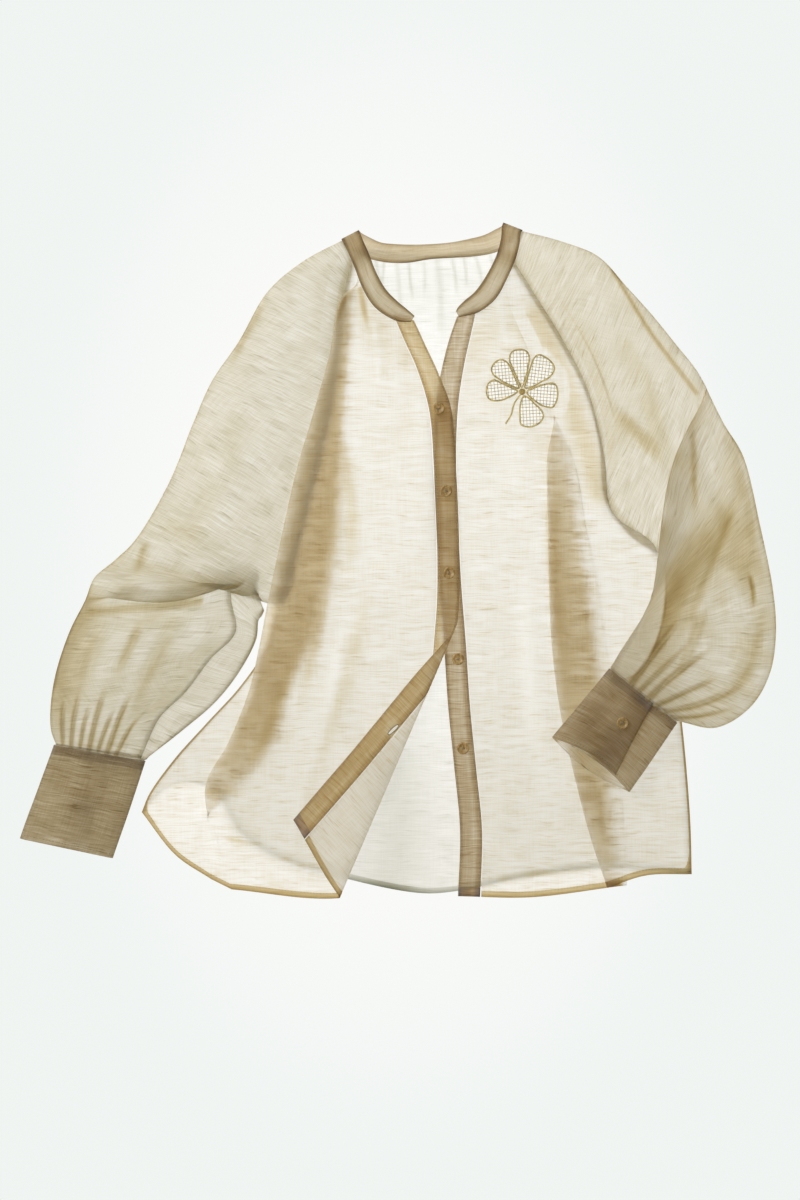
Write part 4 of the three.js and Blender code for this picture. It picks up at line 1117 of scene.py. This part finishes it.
SLEEVE_LEFT_CREASES = [
    ([(611, 269), (626.6, 295.7), (649.6, 334), (674, 366), (695.5, 393)], 2.0, 0.8, 1.6, 2),
    ([(612, 408), (640, 438), (669, 469)], 7, -1.5, 1.3, 0),
    ([(592, 400), (600, 430), (606, 470), (614, 510), (650, 535)], 6, -0.6, 1.3, 0),
    ([(560, 330), (600, 385), (640, 440), (660, 490)], 10, 1.6, -0.1, 0),
    ([(640, 390), (655, 430), (664, 462)], 8, 1.2, 0.5, 0),
    ([(545, 290), (585, 350), (610, 410)], 5, 0.8, 0.7, 0),
    ([(612, 330), (640, 380), (662, 420)], 9, 0.8, 0.3, 0),
    ([(692, 425), (692, 470), (692, 520)], 2.4, -0.6, 2.0, 0),
    ([(634, 660), (674, 598), (708, 536), (738, 482)], 15, 1.0, 1.95, 1),
    ([(748, 470), (720, 540), (692, 604), (658, 674)], 3.5, -0.8, 0.8, 0),
    ([(690, 500), (672, 550), (655, 585)], 7, 0.0, -0.5, 0),
    ([(746, 572), (751, 590), (751, 611)], 2.2, -0.8, 2.2, 0),
    ([(734, 500), (738, 560), (734, 612)], 18, 0.0, 0.8, 0),
    ([(710, 420), (735, 480), (752, 560)], 10, 2.0, 0.4, 0),
    ([(704, 600), (686, 650), (668, 692)], 5, 1.5, 0.7, 0),
    ([(760, 600), (740, 670), (700, 712)], 8, 2.0, 0.5, 0),
    ([(613, 672), (632, 640), (654, 606)], 2.2, 1.4, 1.3, 1),
    ([(621, 678), (640, 648), (662, 616)], 1.8, 1.2, 1.3, 1),
    ([(629, 685), (652, 652), (684, 610)], 2.4, 1.6, 1.1, 1),
    ([(637, 691), (660, 668), (690, 640)], 1.8, 1.2, 1.3, 1),
    ([(646, 698), (674, 672), (718, 640)], 2.4, 1.6, 1.1, 1),
    ([(654, 705), (684, 690), (722, 674)], 1.9, 1.3, 1.3, 1),
    ([(662, 711), (700, 702), (748, 680)], 2.4, 1.5, 1.0, 1),
    ([(670, 717), (700, 714), (738, 706)], 1.8, 1.0, 1.2, 1),
]


CUFF_ENTRY = 4  # how far a sleeve runs into its cuff
CUFF_WALL_ROOM, CUFF_END_ROOM = 1.1, 1.5


def into_cuff(grid, cuff):
    """The sleeve's grid, run on into the cuff between its walls."""
    last = grid[-1]
    left, right = (place(q) for q in cuff["sections"][0][:2])
    down = flat_way(left, place(cuff["sections"][-1][0]))
    across = flat_way(left, right)
    width = np.linalg.norm((right - left)[:2])
    low, high = cuff["base"] + CUFF_WALL_ROOM, cuff["base"] + CUFF_HEIGHT - CUFF_WALL_ROOM
    z = last[:, 2]
    at = (last - left) @ across
    squeezed = np.clip(at, CUFF_END_ROOM, width - CUFF_END_ROOM)
    inside = last + (squeezed - at)[:, None] * across
    level = (z - z.min()) / (z.max() - z.min())
    round_end = 4.5 * (1 - np.minimum(1, np.minimum(squeezed, width - squeezed) / 6)) ** 2
    inside[:, 2] = np.clip(mix(low, high, level), low + round_end, high - round_end)
    beyond = [inside + down * d for d in (1.0, 0.5 * CUFF_ENTRY, CUFF_ENTRY)]
    return np.concatenate([grid, beyond])


def make_sleeve(name, table, raglan, body, creases, seed, cuff):
    shares = np.linspace(0, 1, 170)
    grid = into_cuff(sleeve_grid(table, raglan, body, shares), cuff)
    ply_and_shade = np.ones(grid.shape[:2])
    uv = grid_uv(grid)
    gaps = np.concatenate([shares, [1, 1, 1]]) * (len(table) - 1)
    raglan_rows = sum(1 for row in table if "seam" in row) - 1
    edge = from_end(grid, 1) - LAP + NO_EDGE * smooth((gaps - raglan_rows) / 0.6)[:, None] + 0.6
    edge = np.where(np.arange(grid.shape[1])[None] < SLEEVE_TOP, NO_EDGE, edge)
    top = slice(SLEEVE_TOP, grid.shape[1] - 12)
    rise = smooth((grid[..., 2] - 4) / 10)
    wave = undulation(grid[..., :2], 70, seed) + 0.8 * undulation(grid[..., :2], 32, seed + 1)
    crumpled = mix(0.35, 1, smooth((gaps - raglan_rows + 1) / 2))[:, None]
    grid[:, top, 2] += (1.2 * wave * rise * crumpled)[:, top]
    # Painted crumple shade: the layer count goes up and down in soft patches over the crumpled part.
    ply_and_shade[:, top] += (0.3 * crumpled * undulation(grid[..., :2] * [1, 0.8], 36, seed + 2))[:, top]
    before = grid[..., 2].copy()
    add_creases(grid, ply_and_shade, creases, top, 1.4, 2.2)
    grid[..., 2] = before + (grid[..., 2] - before) * rise
    return shell(name, grid, uv, PLY_WALL, ply_and_shade, edge)


sleeve_right = make_sleeve("sleeve_right_cloth", SLEEVE_RIGHT, RAGLAN_RIGHT,
                           dict(on=262, off=240, z=LAP_UNDER_Z, level=18),
                           SLEEVE_RIGHT_CREASES, 11, CUFF_RIGHT)
sleeve_left = make_sleeve("sleeve_left_cloth", SLEEVE_LEFT, RAGLAN_LEFT,
                          dict(on=655, off=705, z=OVER_BODY_Z, level=9), SLEEVE_LEFT_CREASES, 21, CUFF_LEFT)


def make_neckband():
    stations = np.array([
        [mix(place(seam, z), place(free, z), t) for t in np.linspace(-0.07, 1, 12)]
        for seam, free, z in NECKBAND
    ])
    grid = curve(stations, np.linspace(0, 1, 260))
    across = np.linspace(0, 1, 12)[None]
    along = np.linspace(0, 28, 260)[:, None]
    behind = smooth((along - 8.2) / 0.8) * smooth((20 - along) / 0.8)
    rim = np.maximum(smooth((0.24 - across) / 0.2), smooth((across - 0.74) / 0.2))
    front = 0.85 + 1.6 * rim
    back_line = 1.05 + 1.6 * smooth((0.2 - across) / 0.2) * np.exp(-(((along - 13.9) / 2.2) ** 2)) + 0.35 * rim
    ply_and_shade = mix(front, back_line, behind)
    shoulder = np.exp(-(((along - 5.3) / 0.5) ** 2)) + np.exp(-(((along - 23) / 0.5) ** 2))
    ply_and_shade = ply_and_shade + 0.7 * shoulder
    grid[..., 2] += 0.5 * np.sin(np.pi * across) * (1 - 0.7 * behind)
    uv = grid_uv(grid)[..., ::-1]
    return grid, shell("neckband_cloth", grid, uv, BAND_WALL, ply_and_shade, np.full(ply_and_shade.shape, float(NO_EDGE)))


neckband_grid, neckband = make_neckband()


def make_cuff(name, cuff, seed, lap_start, lap_fade, lap_ply, lap_end, mouth_ply):
    """A cuff. The hidden part of its lap counts little up to the share lap_start of its way, then lap_ply up
    to lap_end and one layer beyond. mouth_ply is what the far wall counts where it shows in the mouth."""
    grid = cuff_grid(cuff, np.linspace(0, 1, 48))
    uv = grid_uv(grid)
    edge = from_end(grid, 0, False)
    mouth = from_end(grid, 0)
    ends = np.minimum(from_end(grid, 1), from_end(grid, 1, False))
    ply_and_shade = 1 + 0.35 * smooth((3.5 - mouth) / 1.5) + 0.5 * smooth((5 - ends) / 2)
    ply_and_shade += 0.08 * undulation(uv, 30, seed)
    lap = np.arange(CUFF_FLAT) / CUFF_FLAT
    inside = mix(lap_ply, 1, smooth((lap - lap_end) / 0.06))
    ply_and_shade[:, :CUFF_FLAT] *= mix(0.2, inside, smooth((lap - lap_start) / lap_fade))
    far_wall = slice(CUFF_FLAT + CUFF_ARC, 2 * CUFF_FLAT + CUFF_ARC - 1)
    ply_and_shade[:, far_wall] *= mix(mouth_ply, 1, smooth((mouth[:, far_wall] - 8) / 12))
    swell = 0.2 * undulation(uv, 45, seed + 5) * smooth(ends / 10)
    grid = grid + grid_normals(grid) * swell[..., None]
    return grid, shell(name, grid, uv, BAND_WALL, ply_and_shade, edge)


cuff_right_grid, cuff_right = make_cuff("cuff_right_cloth", CUFF_RIGHT, 31, 0.36, 0.1, 1.25, 1, 1)
cuff_left_grid, cuff_left = make_cuff("cuff_left_cloth", CUFF_LEFT, 41, 0.2, 0.3, 1.9, 0.66, 0.05)


# ---- Flower ----

FLOWER_CENTRE = np.array([522, -392.0])
STEM = [(521, 394), (514, 404), (511, 415), (505.5, 424)]
PETALS = [  # angle, length, width, tilt of its lattice
    (95, 43, 21, 2), (51, 43, 26, -7), (-8, 37, 26, -4), (-70, 37, 25.5, 3), (177, 36, 23, 6),
    (133, 40, 20, 5),
]
PETAL_ROOT = 4
PETAL_STEPS = 26
CORD = 1.6
CORD_RADIUS, NETTING_RADIUS = 0.85, 0.33
LATTICE = 3.3
CORD_LIFT, NETTING_LIFT = 0.75, 0.35
FLOWER_ROOM = 75  # round its centre, where the cloth's height is read
CUT_ROOM = 48  # round its centre, where the cut is mended


def petal_outline(index, inset):
    """A blunt petal whose sides stop where its neighbours' begin."""
    angle, length, width, _ = PETALS[index]
    t = (1 - np.cos(np.pi * np.linspace(0, 1, PETAL_STEPS))) / 2
    blunt = 1.33 * t**0.65 * np.sqrt(np.maximum(0, 1 - t**6))
    x = mix(PETAL_ROOT + inset, length - inset, t) + 0.6 * np.sin(5 * np.pi * t + index) * t
    sides = []
    for way in (1, -1):
        turn = min((way * (other[0] - angle)) % 360 for i, other in enumerate(PETALS) if i != index)
        room = x * math.tan(math.radians(min(turn / 2, 45))) - inset - 0.2
        scallop = 1 + 0.035 * np.sin(11 * t + 2 * index + way)
        y = np.minimum((width / 2 - inset) * blunt * scallop, room)
        y[[0, -1]] = 0
        sides.append(np.c_[x, way * y])
    loop = np.concatenate([sides[1], sides[0][::-1][1:-1]])
    a = math.radians(angle)
    return loop @ np.array([[math.cos(a), math.sin(a)], [-math.sin(a), math.cos(a)]]) + FLOWER_CENTRE


def height_on_left(xy):
    """The height of the middle of the left front's cloth at places on the sheet."""
    cloth = panel_left[:, :PANEL_TOP].reshape(-1, 3)
    near = cloth[np.linalg.norm(cloth[:, :2] - FLOWER_CENTRE, axis=1) < FLOWER_ROOM]
    far = np.linalg.norm(near[None, :, :2] - np.asarray(xy)[:, None], axis=2)
    weight = 1 / (far**4 + 0.5)
    return (weight * near[None, :, 2]).sum(1) / weight.sum(1)


def on_left(xy, lift):
    xy = np.asarray(xy, float)
    return np.c_[xy, height_on_left(xy) + lift]


def chords(outline, angle, pitch):
    """The stretches of a square lattice that lie inside an outline."""
    found = []
    for turn in (angle, angle + 90):
        a = math.radians(turn)
        along, across = np.array([math.cos(a), math.sin(a)]), np.array([-math.sin(a), math.cos(a)])
        level = outline @ across
        for at in np.arange(math.ceil(level.min() / pitch) * pitch + pitch * 0.3, level.max(), pitch):
            crossings = []
            for p, q in zip(outline, np.roll(outline, -1, axis=0)):
                lp, lq = p @ across - at, q @ across - at
                if lp * lq < 0:
                    crossings.append(mix(p, q, lp / (lp - lq)) @ along)
            crossings.sort()
            for s, e in zip(crossings[::2], crossings[1::2]):
                if e - s > 0.8:
                    found.append([along * s + across * at, along * e + across * at])
    return found


def closed_on_left(xy, lift):
    loop = on_left(xy, lift)
    return np.concatenate([loop, loop[:1]])


def make_flower():
    cords, netting = [], []
    for i, petal in enumerate(PETALS):
        outline = petal_outline(i, CORD / 2)
        cords.append(closed_on_left(outline, CORD_LIFT))
        for s, e in chords(outline, petal[3], LATTICE):
            steps = max(2, int(np.linalg.norm(e - s) / 4) + 1)
            netting.append(on_left([mix(s, e, t) for t in np.linspace(0, 1, steps)], NETTING_LIFT))
    stem = by_length([place(q) for q in STEM], np.linspace(0, 1, 16))[:, :2]
    cords.append(on_left(stem, CORD_LIFT))
    for turn in range(3):
        way = np.array([(math.cos(a), math.sin(a)) for a in np.arange(16) * 2 * np.pi / 16])
        cords.append(closed_on_left(FLOWER_CENTRE + (2.6 - 0.8 * turn) * way, 0.9 + 0.25 * turn))
    return tubes("flower_cords", cords, CORD_RADIUS, 8), tubes("flower_lattice", netting, NETTING_RADIUS, 5)


flower_cords, flower_lattice = make_flower()
cut(front_left, [prism(f"hole_{i}", petal_outline(i, CORD * 0.6), -2, 16) for i in range(len(PETALS))])


def refresh_after_cut(obj, around, radius, ply_and_shade, flat):
    """Points near a cut take plain values, and as UV the places that flat gives them."""
    points = read(obj.data.vertices, "co", 3) / MM + SHEET_ORIGIN
    near = np.linalg.norm(points[:, :2] - around, axis=1) < radius
    for name, plain in (("ply_and_shade", ply_and_shade), ("edge", NO_EDGE)):
        set_points(obj, name, np.where(near, plain, read(obj.data.attributes[name].data, "value")))
    index = read(obj.data.loops, "vertex_index", kind=np.int32)
    layer = obj.data.uv_layers["cloth"].data
    uv = np.where(near[index, None], flat(points)[index] * MM, read(layer, "uv", 2))
    layer.foreach_set("uv", uv.astype(np.float32).ravel())


refresh_after_cut(front_left, FLOWER_CENTRE, CUT_ROOM, 1.0, lambda p: p[:, :2])


# ---- Open buttonhole ----

BUTTONHOLE = np.array([393.3, -729.3])
BUTTONHOLE_WAY = np.array([0.73, 0.683])
BUTTONHOLE_ROOM = 9.5


def buttonhole_ring(half_length, half_width, count):
    side = np.array([-BUTTONHOLE_WAY[1], BUTTONHOLE_WAY[0]])
    angle = np.arange(count) * 2 * np.pi / count
    c, d = np.cos(angle), np.sin(angle)
    stretched = np.abs(d) ** 0.7 * np.sign(d)
    return BUTTONHOLE + np.outer(half_length * c, BUTTONHOLE_WAY) + np.outer(half_width * stretched, side)


def before_turn(points):
    """Where places on the returned cloth lay before it was turned."""
    return (points + (math.pi * TURN_RADIUS - 2 * beyond_turn(points))[:, None] * TURN_ACROSS)[:, :2]


cut(strip_right, [prism("buttonhole", buttonhole_ring(6.5, 1.3, 20), 5, 20)])
refresh_after_cut(strip_right, BUTTONHOLE, BUTTONHOLE_ROOM, 0.95, before_turn)
band = placket_right.reshape(-1, 3)
hole_top = band[np.argmin(np.linalg.norm(band[:, :2] - BUTTONHOLE, axis=1)), 2] + BAND_WALL / 2
edging = np.c_[buttonhole_ring(7.0, 1.8, 32), np.full(32, hole_top + 0.1)]
buttonhole_edge = tubes("buttonhole_edge", [np.concatenate([edging, edging[:1]])], 0.4)


# ---- Materials on the cloth ----

PLEATED = dict(band=HEM, slubs=2.1, warmth=(0.994, 0.975))
BALLOON = dict(band=6, slubs=1.5, warmth=(0.98, 0.93))
STRIP = dict(slubs=0.7, steep_shade=1.5, dense=0.16)
CUFF = dict(steep_shade=1.0, dense=0.12)
LINEN_THROUGH = (0.93, 0.905, 0.845)
LINENS = {  # by CAD node: the piece, what one layer lets through, the seed and the rest of its linen
    "back": (back, (0.895, 0.895, 0.87), 3, dict(band=HEM, band_ply=3.5)),
    "front_right": (front_right, LINEN_THROUGH, 5, dict(PLEATED, band_ply=11)),
    "front_left": (front_left, LINEN_THROUGH, 7, dict(PLEATED, band_ply=10)),
    "sleeve_right": (sleeve_right, (0.85, 0.835, 0.775), 9, dict(BALLOON, band_ply=1.5)),
    "sleeve_left": (sleeve_left, (0.862, 0.842, 0.775), 11, dict(BALLOON, band_ply=1.3)),
    "placket_right": (strip_right, (0.70, 0.575, 0.355), 13, STRIP),
    "placket_left": (strip_left, (0.57, 0.465, 0.31), 15, STRIP),
    "neckband": (neckband, (0.62, 0.53, 0.37), 17, dict(band=1, band_ply=1.0, slubs=0.4, steep_shade=1.5)),
    "cuff_right": (cuff_right, (0.62, 0.55, 0.405), 19, dict(CUFF, band_ply=2.0)),
    "cuff_left": (cuff_left, (0.725, 0.65, 0.51), 21, dict(CUFF, band_ply=2.2)),
}
for node, (obj, passes, seed, more) in LINENS.items():
    finish_piece(obj, linen("linen_" + node, passes, seed, **more), "linen_" + node, node)

sewing_thread = thread("sewing_thread", (0.42, 0.35, 0.22), 0.6)
finish_piece(flower_cords, thread("flower_thread", (0.80, 0.72, 0.45), 0.15), "flower_thread", "flower")
finish_piece(flower_lattice, thread("flower_fine_thread", (0.80, 0.73, 0.50), 0.15), "flower_thread")
finish_piece(buttonhole_edge, sewing_thread, "linen_placket_right")


# ---- Stitching ----

HEM_LINE = 5.4
strip_lines = (1, STEPS["placket"] - 1)
STITCHES = {  # a piece's end of name: the cloth that it sews, and its lines
    "placket_right": ("placket_right",
                      [surface_line(placket_right, BAND_WALL, column=c) for c in strip_lines]),
    "placket_left": ("placket_left",
                     [surface_line(placket_left, BAND_WALL, column=c, side=-1) for c in strip_lines]),
    "neckband": ("neckband", [surface_line(neckband_grid, BAND_WALL, column=c) for c in (1, 10)]),
    "cuff_right": ("cuff_right", [surface_line(cuff_right_grid, BAND_WALL, row=r) for r in (2, 45)]),
    "cuff_left": ("cuff_left", [surface_line(cuff_left_grid, BAND_WALL, row=r, side=-1) for r in (2, 45)]),
    "hem_right": ("front_right", [inset_row(panel_right, PLY_WALL, HEM_LINE)]),
    "hem_left": ("front_left", [inset_row(panel_left, PLY_WALL, HEM_LINE, -1)]),
}
runs = {name: stitches("stitches_" + name, lines) for name, (_, lines) in STITCHES.items()}
for name, obj in runs.items():
    finish_piece(obj, sewing_thread, "linen_" + STITCHES[name][0])


# ---- Buttons ----

BUTTON_RADIUS, BUTTON_THICK, BUTTON_HOLE, BUTTON_SPACING = 6, 2.6, 0.9, 3.2


def button_mesh():
    """A turned button with a sunk middle and two holes, its underside at 0."""
    r, t = BUTTON_RADIUS, BUTTON_THICK
    profile = [(0, 0), (r - 1.4, 0), (r - 0.5, 0.25), (r, 1.0), (r, t - 0.8), (r - 0.25, t - 0.2),
               (r - 0.8, t), (r - 1.4, t - 0.05), (r - 1.9, t - 0.35), (r - 2.4, t - 0.8),
               (r - 3.2, t - 0.95), (0, t - 1)]
    sides = 48
    points, faces = [(0, 0, profile[0][1])], []
    for x, z in profile[1:-1]:
        points += [(x * math.cos(a), x * math.sin(a), z) for a in np.arange(sides) * 2 * np.pi / sides]
    points.append((0, 0, profile[-1][1]))
    rings = len(profile) - 2
    for k in range(sides):
        n = (k + 1) % sides
        faces.append((0, 1 + n, 1 + k))
        for j in range(rings - 1):
            a = 1 + j * sides
            faces.append((a + k, a + n, a + sides + n, a + sides + k))
        a = 1 + (rings - 1) * sides
        faces.append((a + k, a + n, len(points) - 1))
    obj = new_object("button_blank", np.array(points) + SHEET_ORIGIN, faces)
    drills = []
    for sign in (-1, 1):
        ring = [(sign * BUTTON_SPACING / 2 + BUTTON_HOLE * math.cos(a), BUTTON_HOLE * math.sin(a))
                for a in np.arange(20) * 2 * np.pi / 20]
        drills.append(prism("drill", np.array(ring) + SHEET_ORIGIN[:2], -2, 5))
    cut(obj, drills)
    mesh = obj.data
    bpy.data.objects.remove(obj)
    return mesh


BUTTON_PLACES = {
    "button_1": ((438.5, 409), 12), "button_2": ((446, 491), -20), "button_3": ((449, 573), 64),
    "button_4": ((458, 659), 5), "button_5": ((463, 748), -8), "button_cuff_left": ((621, 722), 50),
    "button_cuff_right": ((86, 806), 10),
}
THREAD_RADIUS, THREAD_GAP = 0.22, 0.33


def add_buttons():
    shape, amber = button_mesh(), amber_shell("button_shell")
    for name, (q, turn) in BUTTON_PLACES.items():
        low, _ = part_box(name)
        centre = place(q, low[2] / MM)
        a = math.radians(turn)
        way, side = np.array([math.cos(a), math.sin(a), 0]), np.array([-math.sin(a), math.cos(a), 0])
        mesh = shape.copy()
        points = read(mesh.vertices, "co", 3) @ np.array([way, side, UP]) + (centre - SHEET_ORIGIN) * MM
        mesh.vertices.foreach_set("co", points.ravel())
        mesh.polygons.foreach_set("use_smooth", [True] * len(mesh.polygons))
        mesh.update()
        finish_piece(add_object(name + "_shell", mesh), amber, "button_shell", name)
        shares = np.linspace(-1, 1, 9)
        arch = BUTTON_THICK - 0.75 + 0.35 * np.cos(shares * np.pi / 2) - 1.2 * np.abs(shares) ** 8
        reach = np.outer(shares * (BUTTON_SPACING / 2 + 0.1), way)
        bars = [centre + reach + side * offset + np.outer(arch, UP)
                for offset in (-THREAD_GAP, 0, THREAD_GAP)]
        finish_piece(tubes(name + "_thread", bars, THREAD_RADIUS), sewing_thread, "button_shell")


add_buttons()


# ---- Light table and light ----

STAGE_HALF = 5
BOUNCES = 32  # light crosses many thin layers


def add_stage():
    """A pale lit table: what the camera sees of it, and the light that it gives the cloth."""
    corners = [(x * STAGE_HALF, y * STAGE_HALF, TABLE_TOP) for x, y in ((-1, -1), (1, -1), (1, 1), (-1, 1))]
    mesh = bpy.data.meshes.new("stage")
    mesh.from_pydata(corners, [], [(0, 1, 2, 3)])
    k = Nodes(bpy.data.materials.new("light_table"))
    far = k.add("ShaderNodeVectorMath", {"operation": "LENGTH"}, i0=k.scaled(k.place(), (1.5, 0.95, 1)))
    seen = k.blend(k.ramp(far.outputs["Value"], 0.25, 0.62), (0.955, 0.96, 0.945), (0.87, 0.905, 0.885))
    down = k.add("ShaderNodeSeparateXYZ", None, i0=k.place()).outputs["Y"]
    lit = k.blend(k.ramp(down, -0.34, 0.12), (1.0, 0.985, 0.93), (1.20, 1.20, 1.19))
    c = k.blend(k.add("ShaderNodeLightPath").outputs["Is Camera Ray"], lit, seen)
    mesh.materials.append(k.finish(k.add("ShaderNodeEmission", None, Color=c, Strength=1.0).outputs[0]))
    add_object("stage", mesh)


def add_light():
    data = bpy.data.lights.new("top_light", "AREA")
    data.shape = "RECTANGLE"
    data.size, data.size_y = 1.6, 1.2
    data.energy = 45
    data.color = (1.0, 0.98, 0.95)
    light = add_object("top_light", data)
    light.location = (-1.3, 1.0, 1.6)
    light.rotation_euler = (-light.location).to_track_quat("-Z", "Y").to_euler()
    world = bpy.data.worlds.new("studio")
    bpy.context.scene.world = world
    k = Nodes(world)
    strength = k.ramp(k.add("ShaderNodeLightPath").outputs["Is Camera Ray"], 0, 1, 0.28, 0.93, False)
    background = k.add("ShaderNodeBackground", None, Color=(0.93, 0.96, 0.95, 1), Strength=strength)
    k.finish(background.outputs[0], "ShaderNodeOutputWorld")


add_stage()
add_light()
scene = bpy.context.scene
scene.view_settings.view_transform = "Standard"
scene.view_settings.look = "None"
scene.cycles.max_bounces = scene.cycles.transmission_bounces = BOUNCES
scene.cycles.diffuse_bounces = 4
